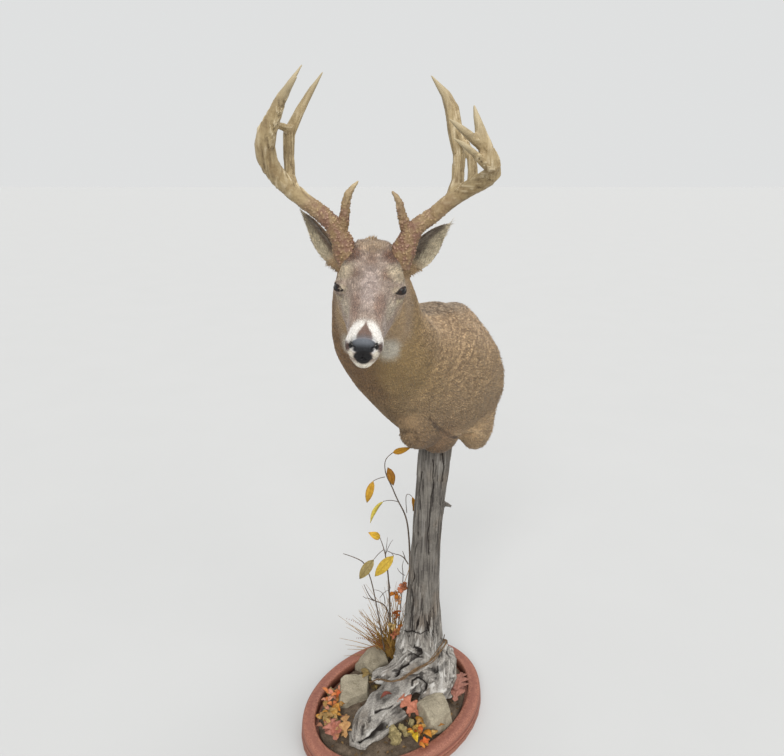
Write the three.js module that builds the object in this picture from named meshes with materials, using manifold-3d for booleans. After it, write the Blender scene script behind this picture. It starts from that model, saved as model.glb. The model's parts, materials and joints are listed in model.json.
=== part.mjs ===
// Whitetail buck shoulder mount on a driftwood post, standing in an oval base dressed as forest floor.
// Millimetres, +Z up. The origin is the middle of the base's underside.
// The buck looks along -Y, and its left is +X.
import * as THREE from "three";
import { mergeVertices } from "three/addons/utils/BufferGeometryUtils.js";
import Module from "manifold-3d";

const wasm = await Module();
wasm.setup();

// ---------------------------------------------------------------- driving dimensions

const GAP = 0.3; // clearance between neighbouring solids
const FAR = 1500; // half size of the blocks that part a body

const BASE = {
  halfLength: 302,
  halfWidth: 231,
  turn: 47, // degrees from +X to the oval's long axis
  boardHeight: 14,
  boardLip: 3,
  ringHeight: 48,
  ringWidth: 38,
  soilGap: 8,
  soilRim: 30,
  soilCrown: 22,
};

const HEAD = {
  at: [-51, -280, 1337], // midway between the eyes
  yaw: -1,
  pitch: 8,
  roll: 3,
  nose: -212, // along the head's own y axis
  poll: 112,
};

const EYE = { radius: 16.5, side: 57, forward: -8, up: 1 };

const EAR = { thickness: 6.5, notch: 6 };

// ---------------------------------------------------------------- shape helpers

const v3 = (x, y, z) => new THREE.Vector3(x, y, z);
const degrees = THREE.MathUtils.degToRad;
const mix = THREE.MathUtils.lerp;
const ramp = (from, to, x) => THREE.MathUtils.smoothstep(x, from, to);

/** Smooth curve of one value through [place, value] knots, without overshoot. */
function profile(knots) {
  const rise = knots.slice(1).map(([x, y], i) => (y - knots[i][1]) / (x - knots[i][0]));
  const slope = knots.map((_, i) => {
    if (i === 0) return rise[0];
    if (i === rise.length) return rise[i - 1];
    return rise[i - 1] * rise[i] <= 0 ? 0 : (2 * rise[i - 1] * rise[i]) / (rise[i - 1] + rise[i]);
  });
  return (x) => {
    let i = 0;
    while (i < rise.length - 1 && x > knots[i + 1][0]) i += 1;
    const step = knots[i + 1][0] - knots[i][0];
    const t = THREE.MathUtils.clamp((x - knots[i][0]) / step, 0, 1);
    const h = t * t * (3 - 2 * t);
    const bend = slope[i] * t * (1 - t) ** 2 - slope[i + 1] * t * t * (1 - t);
    return mix(knots[i][1], knots[i + 1][1], h) + bend * step;
  };
}

/** A closed cylinder laid out by place(along, angle, rim), with rim from 0 in an end cap's middle to 1. */
function warp(sides, steps, place) {
  const geometry = new THREE.CylinderGeometry(1, 1, 1, sides, steps);
  const position = geometry.getAttribute("position");
  for (let i = 0; i < position.count; i += 1) {
    const [x, y, z] = [position.getX(i), position.getY(i), position.getZ(i)];
    const at = place(y + 0.5, Math.atan2(x, z), Math.min(1, Math.hypot(x, z)));
    position.setXYZ(i, at.x, at.y, at.z);
  }
  return geometry;
}

/** The closed geometry as a solid. */
function solid(geometry) {
  const bare = geometry.clone();
  bare.deleteAttribute("normal");
  bare.deleteAttribute("uv");
  const merged = mergeVertices(bare, 1e-3);
  const vertProperties = merged.getAttribute("position").array;
  const triVerts = new Uint32Array(merged.index.array);
  return new wasm.Manifold(new wasm.Mesh({ numProp: 3, vertProperties, triVerts }));
}

/** The solid's surface as a geometry. */
function surface(body) {
  const mesh = body.getMesh();
  return new THREE.BufferGeometry()
    .setAttribute("position", new THREE.BufferAttribute(new Float32Array(mesh.vertProperties), 3))
    .setIndex(new THREE.BufferAttribute(new Uint32Array(mesh.triVerts), 1));
}

/**
 * A tapering rod through [x, y, z, radius] points, from the share `from` of its length to the share `to`.
 * `across` is the direction its first half width lies in, and `flat` divides the other half width.
 */
function rod(points, options = {}) {
  const { sides = 8, steps = 12, from = 0, to = 1, grow = 0, flat = 1, across = [0, 1, 0] } = options;
  const path = new THREE.CatmullRomCurve3(points.map(([x, y, z]) => v3(x, y, z)), false, "centripetal");
  const radius = profile(points.map(([, , , r], i) => [i / (points.length - 1), r]));
  return solid(
    warp(sides, steps, (along, angle, rim) => {
      const t = mix(from, to, along);
      const tangent = path.getTangent(t);
      const side = v3(...across);
      side.addScaledVector(tangent, -side.dot(tangent)).normalize();
      const up = v3(0, 0, 0).crossVectors(side, tangent);
      return path
        .getPoint(t)
        .addScaledVector(side, (radius(t) + grow) * rim * Math.sin(angle))
        .addScaledVector(up, (radius(t) / flat + grow) * rim * Math.cos(angle));
    }),
  );
}

/** The two parts of a body beside a plane, a gap apart: the one that the normal points to comes first. */
function part(body, point, normal) {
  const turn = new THREE.Quaternion().setFromUnitVectors(v3(0, 0, 1), normal.clone().normalize());
  const block = (side) =>
    solid(
      new THREE.BoxGeometry(2 * FAR, 2 * FAR, FAR)
        .translate(0, 0, side * (FAR / 2 + GAP / 2))
        .applyQuaternion(turn)
        .translate(point.x, point.y, point.z),
    );
  return [body.intersect(block(1)), body.intersect(block(-1))];
}

const largest = (body) => body.decompose().sort((a, b) => b.volume() - a.volume())[0];

// ---------------------------------------------------------------- materials

const finish = (color, roughness) => new THREE.MeshStandardMaterial({ color, roughness });
const COAT = finish(0x9a7f5f, 0.95);
const MASK = finish(0x8a7566, 0.95);
const EYE_GLASS = finish(0x120c08, 0.08);
const ANTLER = finish(0x9c835c, 0.6);
const DRIFTWOOD = finish(0x8f8d8a, 0.9);
const STAINED_WOOD = finish(0xa5644f, 0.55);
const SOIL = finish(0x6a5c4d, 1);
const STONE = finish(0x8e8970, 0.9);
const LEAF = finish(0xd9a83a, 0.7);
const TWIG = finish(0x5b4a44, 0.8);

const model = new THREE.Group();

/** Adds a solid to the model as a named mesh. */
function add(name, body, material) {
  const mesh = new THREE.Mesh(surface(body), material);
  mesh.name = name;
  model.add(mesh);
}

// ---------------------------------------------------------------- neck and shoulders

// Middle line of the body from inside the poll to the cut face behind the shoulders.
const SPINE = new THREE.CatmullRomCurve3(
  [
    v3(-48, -207, 1352),
    v3(-44, -169, 1290),
    v3(-33, -115, 1211),
    v3(0, -47, 1140),
    v3(60, 23, 1072),
    v3(110, 92, 1026),
    v3(163, 184, 1012),
  ],
  false,
  "centripetal",
);

const YAW_AT_CUT = -29; // the shoulders' turn away from the way the base faces

// Against the share of the way along the middle line: a section's turn and tilt in degrees, then its
// half measures.
const BODY = {
  yaw: profile([[0, 4], [0.1, 4], [0.5, -13], [0.9, YAW_AT_CUT], [1, YAW_AT_CUT]]),
  pitch: profile([[0, 58], [0.3, 44], [0.5, 33], [0.7, 20], [0.85, 11], [1, 6]]),
  panel: 14, // thickness of the board that closes the cut
  panelShare: 0.9, // of the coat's outline at the cut
  side: profile([
    [0, 78],
    [0.1, 94],
    [0.22, 107],
    [0.34, 126],
    [0.48, 135],
    [0.6, 140],
    [0.8, 157],
    [1, 161],
  ]),
  back: profile([[0, 55], [0.2, 80], [0.4, 108], [0.6, 164], [0.8, 204], [1, 203]]),
  belly: profile([[0, 74], [0.2, 98], [0.4, 122], [0.6, 150], [0.8, 178], [1, 184]]),
};

// Stumps of the forelegs: middle, half sizes across, along and up.
const ELBOWS = [
  { at: [226, 112, 914], half: [56, 72, 112] },
  { at: [104, 178, 905], half: [52, 72, 104] },
];

const BRISKET = { at: [72, -26, 926], half: [54, 84, 57] };
const BELLY = { at: [118, 36, 894], half: [62, 74, 64] };

/** The body's section at a share of its length: middle, tail-ward, left-ward and back-ward directions. */
function bodyFrame(t) {
  const [yaw, pitch] = [degrees(BODY.yaw(t)), degrees(BODY.pitch(t))];
  const left = v3(Math.cos(yaw), Math.sin(yaw), 0);
  const tail = v3(-Math.sin(yaw) * Math.cos(pitch), Math.cos(yaw) * Math.cos(pitch), -Math.sin(pitch));
  return { middle: SPINE.getPointAt(t), tail, left, back: v3(0, 0, 0).crossVectors(left, tail) };
}

/** A point of the body's surface. */
function bodyPoint(t, angle, rim) {
  const { middle, left, back } = bodyFrame(t);
  const high = Math.cos(angle);
  const deep = high > 0 ? BODY.back(t) : BODY.belly(t);
  const wide = BODY.side(t) * (1 - 0.4 * ramp(0.2, 0.8, t) * Math.max(0, high) ** 2);
  return middle
    .addScaledVector(left, wide * Math.sin(angle) * rim)
    .addScaledVector(back, deep * high * rim);
}

/** An upright oval ball turned to lie along the shoulders. */
function ball({ at, half }, sides = 12, steps = 6) {
  const place = new THREE.Matrix4().makeRotationZ(degrees(YAW_AT_CUT)).setPosition(...at);
  const round = new THREE.SphereGeometry(1, sides, steps).rotateX(Math.PI / 2);
  return solid(round.scale(...half).applyMatrix4(place));
}

// ---------------------------------------------------------------- head

const headTurn = new THREE.Euler(degrees(HEAD.pitch), degrees(HEAD.roll), degrees(HEAD.yaw), "ZYX");
const headPlace = new THREE.Matrix4().makeRotationFromEuler(headTurn).setPosition(...HEAD.at);
const onHead = (x, y, z) => v3(x, y, z).applyMatrix4(headPlace);

// Along the head's own y axis, nose to poll: its upper and lower lines and half widths at brow and jaw level.
const SKULL = {
  top: profile([
    [-212, -35], [-206, -25], [-190, -17], [-165, -10], [-120, 2],
    [-60, 24], [0, 50], [50, 84], [80, 86], [112, 46],
  ]),
  jaw: profile([
    [-212, -72], [-205, -84], [-190, -91], [-160, -93],
    [-90, -97], [-20, -110], [50, -126], [112, -98],
  ]),
  brow: profile([
    [-212, 20], [-200, 33], [-175, 35], [-120, 38], [-62, 48],
    [-22, 63], [6, 79], [22, 80], [60, 74], [112, 56],
  ]),
  cheek: profile([
    [-212, 18], [-200, 30], [-175, 34], [-120, 38],
    [-60, 49], [0, 58], [60, 64], [112, 54],
  ]),
};

/** A point of the head's surface in the head's own frame. */
function headPoint(t, angle, rim) {
  const y = mix(HEAD.nose, HEAD.poll, t);
  const [top, jaw] = [SKULL.top(y), SKULL.jaw(y)];
  const high = Math.cos(angle);
  const z = mix(jaw, top, 0.5 + 0.5 * high);
  const level = ramp(-0.8, 0.6, high);
  const across = Math.sign(Math.sin(angle)) * Math.abs(Math.sin(angle)) ** 0.86;
  const x = mix(SKULL.cheek(y), SKULL.brow(y), level) * across;
  const middle = (top + jaw) / 2;
  return v3(x * rim, y, middle + (z - middle) * rim);
}

/** The eyeball on one side, grown for its socket. */
function eyeball(side, grow = 0) {
  const at = onHead(side * EYE.side, EYE.forward, EYE.up);
  return solid(new THREE.SphereGeometry(EYE.radius + grow, 12, 8).translate(at.x, at.y, at.z));
}

/** A cupped ear: a leaf-shaped shell from its root on the skull to its tip, opening towards `open`. */
function ear({ root, tip, open }, grow = 0) {
  const axis = tip.clone().sub(root);
  const length = axis.length();
  axis.normalize();
  const out = open.clone().addScaledVector(axis, -open.dot(axis)).normalize();
  const wide = v3(0, 0, 0).crossVectors(axis, out);
  const half = profile([[0, 18], [0.18, 28], [0.42, 36], [0.7, 28], [0.9, 12], [1, 2.5]]);
  const cup = profile([[0, 22], [0.2, 26], [0.5, 24], [0.8, 11], [1, 0]]);
  const thick = profile([[0, 14], [0.25, 5], [0.8, EAR.thickness / 2], [1, 1.6]]);
  return solid(
    warp(12, 7, (along, angle, rim) => {
      const across = Math.sin(angle) * rim;
      const slope = Math.atan2(2 * cup(along) * across, half(along));
      const skin = (thick(along) + grow) * Math.cos(angle) * rim;
      return root
        .clone()
        .addScaledVector(axis, along * (length - EAR.notch * Math.abs(across)) + grow * (2 * along - 1))
        .addScaledVector(wide, half(along) * across + grow * across * Math.cos(slope))
        .addScaledVector(wide, -skin * Math.sin(slope))
        .addScaledVector(out, cup(along) * (across * across - 0.45) + grow * across * Math.sin(slope))
        .addScaledVector(out, skin * Math.cos(slope));
    }),
  );
}

const EARS = {
  right: { root: onHead(-62, 86, 14), tip: v3(-207, -170, 1492), open: v3(-0.75, -0.7, -0.3) },
  left: { root: onHead(62, 86, 14), tip: v3(130, -157, 1466), open: v3(0.45, -0.9, -0.2) },
};

// ---------------------------------------------------------------- antlers

// Each beam and tine is a run of [x, y, z, radius] points.
// A beam parts at its main fork, `fork` of the way along.
const ANTLERS = {
  right: {
    beam: [
      [-96, -225, 1376, 25],
      [-109, -232, 1423, 22],
      [-132, -233, 1466, 17],
      [-171, -231, 1498, 16],
      [-209, -247, 1530, 17],
      [-238, -274, 1566, 18],
      [-251, -299, 1603, 20],
      [-242, -321, 1637, 19],
      [-222, -343, 1670, 13],
      [-204, -361, 1700, 10],
      [-173, -387, 1731, 2],
    ],
    fork: 0.4,
    tines: {
      brow: [[-112, -233, 1440, 12], [-102, -250, 1488, 9.5], [-95, -259, 1524, 8], [-73, -256, 1550, 1.5]],
      g2: [
        [-206, -249, 1534, 13],
        [-214, -235, 1560, 12],
        [-216, -224, 1598, 12],
        [-214, -222, 1640, 13],
        [-190, -222, 1684, 9.5],
        [-165, -225, 1722, 6.5],
        [-141, -229, 1755, 1.5],
      ],
      g3: [[-246, -305, 1622, 13], [-234, -295, 1672, 11], [-212, -283, 1712, 8], [-176, -273, 1763, 1.5]],
      web: [[-212, -225, 1646, 9], [-226, -257, 1654, 8], [-238, -297, 1650, 9]],
    },
  },
  left: {
    beam: [
      [6, -225, 1374, 25],
      [23, -232, 1423, 22],
      [46, -233, 1458, 17],
      [74, -231, 1476, 15.5],
      [108, -243, 1506, 15.5],
      [142, -263, 1532, 16],
      [174, -293, 1552, 17],
      [188, -319, 1570, 18],
      [176, -341, 1594, 17],
      [164, -355, 1620, 13],
      [154, -357, 1648, 9.5],
      [143, -352, 1686, 2],
    ],
    fork: 0.46,
    tines: {
      brow: [[28, -233, 1440, 12], [14, -250, 1484, 9], [8, -258, 1510, 7.5], [-6, -256, 1530, 1.5]],
      g2: [
        [114, -245, 1512, 13],
        [128, -237, 1550, 13],
        [131, -225, 1600, 14],
        [121, -222, 1648, 16],
        [113, -222, 1688, 15],
        [100, -225, 1714, 10],
        [70, -232, 1748, 1.5],
      ],
      g3: [[154, -273, 1546, 11], [152, -263, 1594, 10], [137, -247, 1624, 9], [126, -229, 1652, 9]],
      upper: [[164, -353, 1612, 10], [122, -382, 1642, 7.5], [94, -397, 1661, 1.5]],
      lower: [[178, -339, 1574, 9], [143, -382, 1602, 7], [120, -402, 1618, 5], [101, -412, 1628, 1.2]],
      knob: [[184, -319, 1566, 13], [202, -315, 1570, 8]],
    },
  },
};


// ---------------------------------------------------------------- driftwood

// The trunk's middle and mean radius from the soil up into the chest.
const POST = [
  [74, 93, 40, 92],
  [78, 95, 110, 84],
  [84, 95, 180, 68],
  [87, 94, 260, 57],
  [89, 93, 360, 48],
  [93, 93, 500, 44],
  [101, 93, 640, 45],
  [113, 93, 790, 48],
  [120, 93, 880, 47],
];

// Broken branch stub on the trunk's left.
const KNOT = [
  [128, 95, 650, 9],
  [152, 92, 640, 9],
  [166, 89, 634, 6],
];

const ROOTS = {
  root_left: {
    run: [[92, 64, 170, 50], [60, 52, 140, 46], [16, 50, 108, 34], [-30, 47, 84, 26], [-66, 50, 66, 15]],
    across: [0.6, -0.8, 0],
    flat: 1.1,
  },
  root_long: {
    run: [[62, 40, 104, 44], [14, -8, 78, 52], [-44, -76, 62, 52], [-86, -142, 54, 44], [-106, -190, 48, 22]],
    across: [0.7, -0.7, 0],
    flat: 1.45,
  },
  root_prong: {
    run: [[34, -84, 64, 17], [-6, -122, 58, 13], [-46, -160, 54, 10], [-84, -200, 49, 5]],
    across: [0.7, -0.7, 0],
    flat: 1,
  },
  root_burl: {
    run: [[108, 92, 160, 44], [150, 66, 122, 46], [146, 26, 88, 46], [112, -14, 68, 40], [84, -40, 56, 18]],
    across: [0.9, -0.3, 0],
    flat: 1.1,
  },
};

/** The trunk: a rod whose bark-less surface is fluted lengthwise. */
function post(grow = 0) {
  const path = new THREE.CatmullRomCurve3(POST.map(([x, y, z]) => v3(x, y, z)));
  const radius = profile(POST.map(([, , , r], i) => [i / (POST.length - 1), r]));
  return solid(
    warp(14, 11, (along, angle, rim) => {
      const low = 1 - ramp(0, 0.35, along);
      const flutes = (0.03 + 0.05 * low) * Math.sin(5 * angle + 2 * along);
      const ribs = flutes + 0.02 * Math.sin(9 * angle - 3 * along);
      const r = (radius(along) * (1 + ribs) + grow) * rim;
      const at = path.getPoint(along);
      return v3(at.x + r * Math.sin(angle), at.y + -r * Math.cos(angle), at.z);
    }),
  );
}

// ---------------------------------------------------------------- base

/** Point of the base's oval at an angle, moved inwards along its normal, then a share of the way out. */
function oval(angle, inset, share = 1) {
  const [a, b] = [BASE.halfLength, BASE.halfWidth];
  const normal = new THREE.Vector2(Math.cos(angle) / a, Math.sin(angle) / b).normalize();
  return new THREE.Vector2(a * Math.cos(angle), b * Math.sin(angle))
    .addScaledVector(normal, -inset)
    .multiplyScalar(share)
    .rotateAround(new THREE.Vector2(), degrees(BASE.turn));
}

/** An outline of [inset, height, share] points taken round the oval. */
function ovalTurned(outline, segments = 36) {
  const turned = outline.map(([inset, height]) => new THREE.Vector2(inset, height));
  const geometry = new THREE.LatheGeometry(turned, segments);
  const position = geometry.getAttribute("position");
  for (let i = 0; i < position.count; i += 1) {
    const [inset, height, share = 1] = outline[i % outline.length];
    const angle = (2 * Math.PI * Math.floor(i / outline.length)) / segments - Math.PI / 2;
    const at = oval(angle, inset, share);
    position.setXYZ(i, at.x, at.y, height);
  }
  return solid(geometry);
}

const soilInset = BASE.ringWidth + BASE.soilGap;
const soil = (grow = 0) =>
  ovalTurned([
    [soilInset - grow, BASE.boardHeight + GAP - grow, 0],
    [soilInset - grow, BASE.boardHeight + GAP - grow],
    [soilInset - grow, BASE.soilRim + grow],
    ...[0.8, 0.45].map((share) => [
      soilInset - grow,
      BASE.soilRim + BASE.soilCrown * (1 - share * share) + grow,
      share,
    ]),
    [soilInset - grow, BASE.soilRim + BASE.soilCrown + grow, 0],
  ]);

const ROCKS = {
  rock_right: { at: [116, -97, 66], half: [38, 29, 36], turn: 47 },
  rock_left: { at: [-118, 8, 60], half: [42, 32, 30], turn: 20 },
  rock_back: { at: [-56, 128, 60], half: [42, 32, 32], turn: 40 },
};

const FLATS = [
  v3(0, 0, 1),
  v3(1, 0.2, 0).normalize(),
  v3(-1, 0.3, 0.2).normalize(),
  v3(0.2, 1, 0.1).normalize(),
  v3(-0.1, -1, 0.3).normalize(),
];

/** A block of stone: a ball knocked into flats. */
function rock({ at, half, turn }) {
  const geometry = new THREE.IcosahedronGeometry(1, 1);
  const position = geometry.getAttribute("position");
  for (let i = 0; i < position.count; i += 1) {
    const p = v3(position.getX(i), position.getY(i), position.getZ(i));
    const reach = FLATS.map((flat) => p.dot(flat) / 0.82);
    p.divideScalar(Math.max(1, ...reach));
    position.setXYZ(i, p.x, p.y, p.z);
  }
  const place = new THREE.Matrix4().makeRotationZ(degrees(turn)).setPosition(...at);
  return solid(geometry.scale(...half).applyMatrix4(place));
}

// ---------------------------------------------------------------- plants

// Woody stems and stalks, each a run of [x, y, z, radius] points rising from the soil or leaving a stem.
const STEMS = {
  sapling_stem: [
    [28, 192, 40, 4.2],
    [35, 178, 193, 3.8],
    [50, 154, 380, 3.2],
    [46, 141, 500, 2.8],
    [37, 135, 579, 2.4],
    [10, 129, 635, 2],
    [-8, 125, 686, 1.8],
    [-24, 123, 719, 1.6],
    [-28, 123, 754, 1.4],
    [-21, 125, 775, 1.3],
    [-6, 129, 785, 1.2],
  ],
  side_stem: [
    [-10, 190, 40, 3.4], [-12, 183, 190, 3], [-16, 179, 331, 2.4],
    [-27, 169, 444, 1.8], [-41, 165, 485, 1.2],
  ],
  bare_twig: [
    [-26, 172, 40, 2.6], [-61, 171, 300, 2], [-85, 165, 389, 1.8],
    [-104, 163, 417, 1.5], [-155, 158, 438, 1],
  ],
  dark_twig: [
    [0, 196, 40, 2.6], [-12, 183, 175, 2.4], [-36, 179, 249, 2],
    [-72, 177, 264, 1.7], [-94, 173, 319, 1],
  ],
  leaf_stalk_high: [[-26, 124, 712, 1.1], [-42, 121, 712, 1], [-59, 119, 703, 0.9]],
  leaf_stalk_mid: [[13, 130, 628, 1.1], [-8, 123, 642, 1], [-30, 119, 637, 0.9]],
  leaf_stalk_gold: [[-22, 170, 440, 1.1], [-8, 168, 439, 1], [-1, 166, 429, 0.9]],
  leaf_stalk_grey: [[-31, 168, 446, 1.1], [-48, 164, 436, 1], [-61, 161, 419, 0.9]],
  leaf_stalk_post: [[38, 135, 590, 1.1], [32, 133, 646, 1], [43, 133, 656, 0.9], [52, 133, 646, 0.8]],
};

// Each leaf's stalk end, tip and half width, and the way its blade lies across.
const LEAVES = {
  leaf_top: { foot: [-4, 129, 786], tip: [47, 119, 807], half: 9, across: [0.2, 0.8, -0.5] },
  leaf_brown: { foot: [-18, 125, 742], tip: [-2, 117, 688], half: 11, across: [1, 0.3, 0] },
  leaf_hanging: { foot: [-60, 119, 702], tip: [-79, 113, 635], half: 11, across: [1, -0.2, 0] },
  leaf_narrow: { foot: [-32, 119, 636], tip: [-70, 113, 568], half: 8, across: [1, 0.5, 0] },
  leaf_post: { foot: [53, 133, 644], tip: [56, 130, 597], half: 7, across: [0.9, 0.7, 0] },
  leaf_side: { foot: [-42, 165, 487], tip: [-78, 158, 511], half: 11, across: [0.3, 0.6, 0.8] },
  leaf_grey: { foot: [-62, 160, 416], tip: [-106, 150, 354], half: 15, across: [1, -0.3, 0] },
  leaf_gold: { foot: [-1, 165, 426], tip: [-59, 158, 358], half: 16, across: [1, -0.3, 0] },
};

// Tussock of dry grass and a fern frond behind the trunk: root, bend and tip of each blade, with its
// half width.
const BLADES = {
  grass_left: [[-20, 196, 40, 5], [-60, 195, 130, 4], [-105, 193, 192, 1]],
  grass_low: [[-34, 196, 40, 5], [-90, 198, 130, 4], [-165, 198, 183, 1]],
  grass_mid: [[-6, 200, 40, 5], [-26, 194, 140, 4], [-48, 193, 215, 1]],
  grass_tall: [[10, 198, 40, 6], [0, 192, 170, 5], [-4, 188, 302, 1]],
  grass_right: [[24, 186, 40, 5], [24, 182, 140, 4], [19, 178, 240, 1]],
};
const FROND = [[-30, 172, 44, 3], [-56, 172, 106, 11], [-90, 174, 112, 13], [-123, 176, 92, 2]];

// ---------------------------------------------------------------- putting it together

const ring = ovalTurned([
  [0, BASE.boardHeight + GAP],
  [-2, BASE.boardHeight + 5],
  [4, BASE.boardHeight + 12],
  [0, BASE.ringHeight - 12],
  [2, BASE.ringHeight - 3],
  [9, BASE.ringHeight],
  [BASE.ringWidth - 4, BASE.ringHeight],
  [BASE.ringWidth, BASE.ringHeight - 4],
  [BASE.ringWidth, BASE.boardHeight + GAP],
  [0, BASE.boardHeight + GAP],
]);
const board = ovalTurned([
  [-BASE.boardLip, 0, 0],
  [-BASE.boardLip, 0],
  [-BASE.boardLip, BASE.boardHeight],
  [-BASE.boardLip, BASE.boardHeight, 0],
]);
add("base_board", board, STAINED_WOOD);
add("base_ring", ring, STAINED_WOOD);
add("soil", soil(), SOIL);

const ground = soil(GAP);
const trunk = post().subtract(ground);
add("post", trunk, DRIFTWOOD);
let taken = ground.add(post(GAP));
add("post_knot", rod(KNOT, { sides: 7, steps: 3 }).subtract(taken), DRIFTWOOD);
for (const [name, { run, across, flat }] of Object.entries(ROOTS)) {
  const shape = (grow) => rod(run, { sides: 8, steps: 7, across, flat, grow });
  add(name, largest(shape(0).subtract(taken)), DRIFTWOOD);
  taken = taken.add(shape(GAP));
}
for (const [name, size] of Object.entries(ROCKS)) add(name, largest(rock(size).subtract(taken)), STONE);

for (const [name, run] of Object.entries(STEMS)) {
  const shape = (grow) => rod(run, { sides: 4, steps: 2 * run.length - 2, grow });
  add(name, largest(shape(0).subtract(taken)), TWIG);
  taken = taken.add(shape(GAP));
}
for (const [name, { foot, tip, half, across }] of Object.entries(LEAVES)) {
  const middle = foot.map((value, i) => mix(value, tip[i], 0.5));
  const run = [[...foot, 1], [...middle, half], [...tip, 1]];
  add(name, rod(run, { sides: 4, steps: 4, across, flat: 9 }).subtract(taken), LEAF);
}
for (const [name, run] of Object.entries(BLADES)) {
  const shape = (grow) => rod(run, { sides: 4, steps: 5, across: [1, 0, 0.3], flat: 4, grow });
  add(name, largest(shape(0).subtract(taken)), TWIG);
  taken = taken.add(shape(GAP));
}
const frond = rod(FROND, { sides: 4, steps: 6, across: [0, 0.8, 0.6], flat: 4 });
add("fern", largest(frond.subtract(taken)), TWIG);

const head = solid(warp(18, 18, headPoint).applyMatrix4(headPlace));
const barrel = solid(warp(22, 14, bodyPoint));
const body = [BRISKET, BELLY, ...ELBOWS].reduce((whole, lump) => whole.add(ball(lump)), barrel);
const jawPlane = onHead(0, 84, -50);
const jawNormal = v3(0, -0.956, 0.292).transformDirection(headPlace);
const [headPart, trunkPart] = part(head.add(body), jawPlane, jawNormal);
const cut = bodyFrame(1);
const rest = part(trunkPart, cut.middle, cut.tail)[1];
const panel = warp(22, 1, (along, angle, rim) =>
  bodyPoint(1, angle, BODY.panelShare * rim).addScaledVector(cut.tail, GAP + BODY.panel * along),
);
add("back_panel", solid(panel), STAINED_WOOD);
const halfway = bodyFrame(0.5);
const [neckPart, shoulderPart] = part(rest, halfway.middle, halfway.tail.clone().negate());

let [skull, neck] = [largest(headPart), largest(neckPart)];
for (const [side, sign] of [["right", -1], ["left", 1]]) {
  const { beam, fork, tines } = ANTLERS[side];
  const lower = (grow) => rod(beam, { sides: 8, steps: 8, to: fork, grow });
  const upper = (grow) => rod(beam, { sides: 8, steps: 10, from: fork + 0.002, grow });
  let grown = lower(GAP).add(upper(GAP));
  add(`antler_${side}_beam_lower`, lower(0), ANTLER);
  add(`antler_${side}_beam_upper`, upper(0).subtract(lower(GAP)), ANTLER);
  for (const [tine, run] of Object.entries(tines)) {
    const shape = (grow) => rod(run, { sides: 6, steps: 6, grow, across: [0.3, 1, 0] });
    add(`antler_${side}_${tine}`, largest(shape(0).subtract(grown)), ANTLER);
    grown = grown.add(shape(GAP));
  }
  add(`ear_${side}`, largest(ear(EARS[side]).subtract(lower(GAP))), COAT);
  add(`eye_${side}`, eyeball(sign), EYE_GLASS);
  skull = skull.subtract(lower(GAP)).subtract(ear(EARS[side], 1.5 * GAP)).subtract(eyeball(sign, GAP));
  neck = neck.subtract(ear(EARS[side], 1.5 * GAP));
}
add("head", largest(skull), MASK);
add("neck", largest(neck), COAT);
add("shoulders", largest(shoulderPart.subtract(post(GAP))), COAT);

export default model;
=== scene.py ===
"""Whitetail buck shoulder mount on a driftwood post, in an oval base dressed as forest floor."""

from __future__ import annotations

import json
import logging
import math
from collections.abc import Callable, Sequence
from dataclasses import dataclass
from enum import Enum

import bmesh
import bpy
import numpy as np
from mathutils import Euler, Matrix, Vector

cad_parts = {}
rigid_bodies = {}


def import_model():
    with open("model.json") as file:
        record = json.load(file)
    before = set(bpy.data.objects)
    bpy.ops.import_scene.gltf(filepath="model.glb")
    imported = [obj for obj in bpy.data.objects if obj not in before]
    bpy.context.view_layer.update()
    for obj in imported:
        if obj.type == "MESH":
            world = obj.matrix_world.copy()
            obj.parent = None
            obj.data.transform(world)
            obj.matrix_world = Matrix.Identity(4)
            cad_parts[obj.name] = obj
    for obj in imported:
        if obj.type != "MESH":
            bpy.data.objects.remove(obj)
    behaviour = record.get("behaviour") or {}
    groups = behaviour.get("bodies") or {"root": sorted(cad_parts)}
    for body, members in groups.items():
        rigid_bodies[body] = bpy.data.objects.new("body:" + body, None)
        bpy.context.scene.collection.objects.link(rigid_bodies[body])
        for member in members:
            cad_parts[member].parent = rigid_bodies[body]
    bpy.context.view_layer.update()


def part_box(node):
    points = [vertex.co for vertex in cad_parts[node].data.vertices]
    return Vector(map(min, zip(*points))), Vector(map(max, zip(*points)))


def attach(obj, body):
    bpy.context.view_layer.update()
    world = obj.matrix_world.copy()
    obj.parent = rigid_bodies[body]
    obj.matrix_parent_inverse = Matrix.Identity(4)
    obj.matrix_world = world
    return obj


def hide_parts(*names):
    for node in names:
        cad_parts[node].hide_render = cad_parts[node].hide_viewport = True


LOG = logging.getLogger("buck_mount")
MM = 0.001
BODY = "root"
Triple = tuple[float, float, float]
Colour = tuple[float, float, float, float]
Run = tuple[tuple[float, float, float, float], ...]


# ---------------------------------------------------------------- small helpers


def rgb(code: str, gain: float = 1.0) -> Colour:
    """Turns a hex colour into the linear colour that shaders take.

    Args:
        code: Six hex digits.
        gain: Brightness factor.

    Returns:
        Red, green, blue and alpha.
    """
    parts = [int(code[i : i + 2], 16) / 255 for i in (0, 2, 4)]
    linear = [c / 12.92 if c <= 0.04045 else ((c + 0.055) / 1.055) ** 2.4 for c in parts]
    return (linear[0] * gain, linear[1] * gain, linear[2] * gain, 1.0)


def ramp(low: float, high: float, value: np.ndarray) -> np.ndarray:
    """Smooth step of a value from 0 at low to 1 at high."""
    t = np.clip((value - low) / (high - low), 0.0, 1.0)
    return t * t * (3 - 2 * t)


def unit(rows: np.ndarray) -> np.ndarray:
    """Rows scaled to length one."""
    return rows / np.maximum(np.linalg.norm(rows, axis=-1, keepdims=True), 1e-9)


def grid_key(cell: np.ndarray, seed: int = 0) -> np.ndarray:
    """A whole number that stands for each cell of a grid."""
    x, y, z = cell.T
    return x * 73856093 ^ y * 19349663 ^ z * 83492791 ^ (seed * 2654435761)


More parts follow.
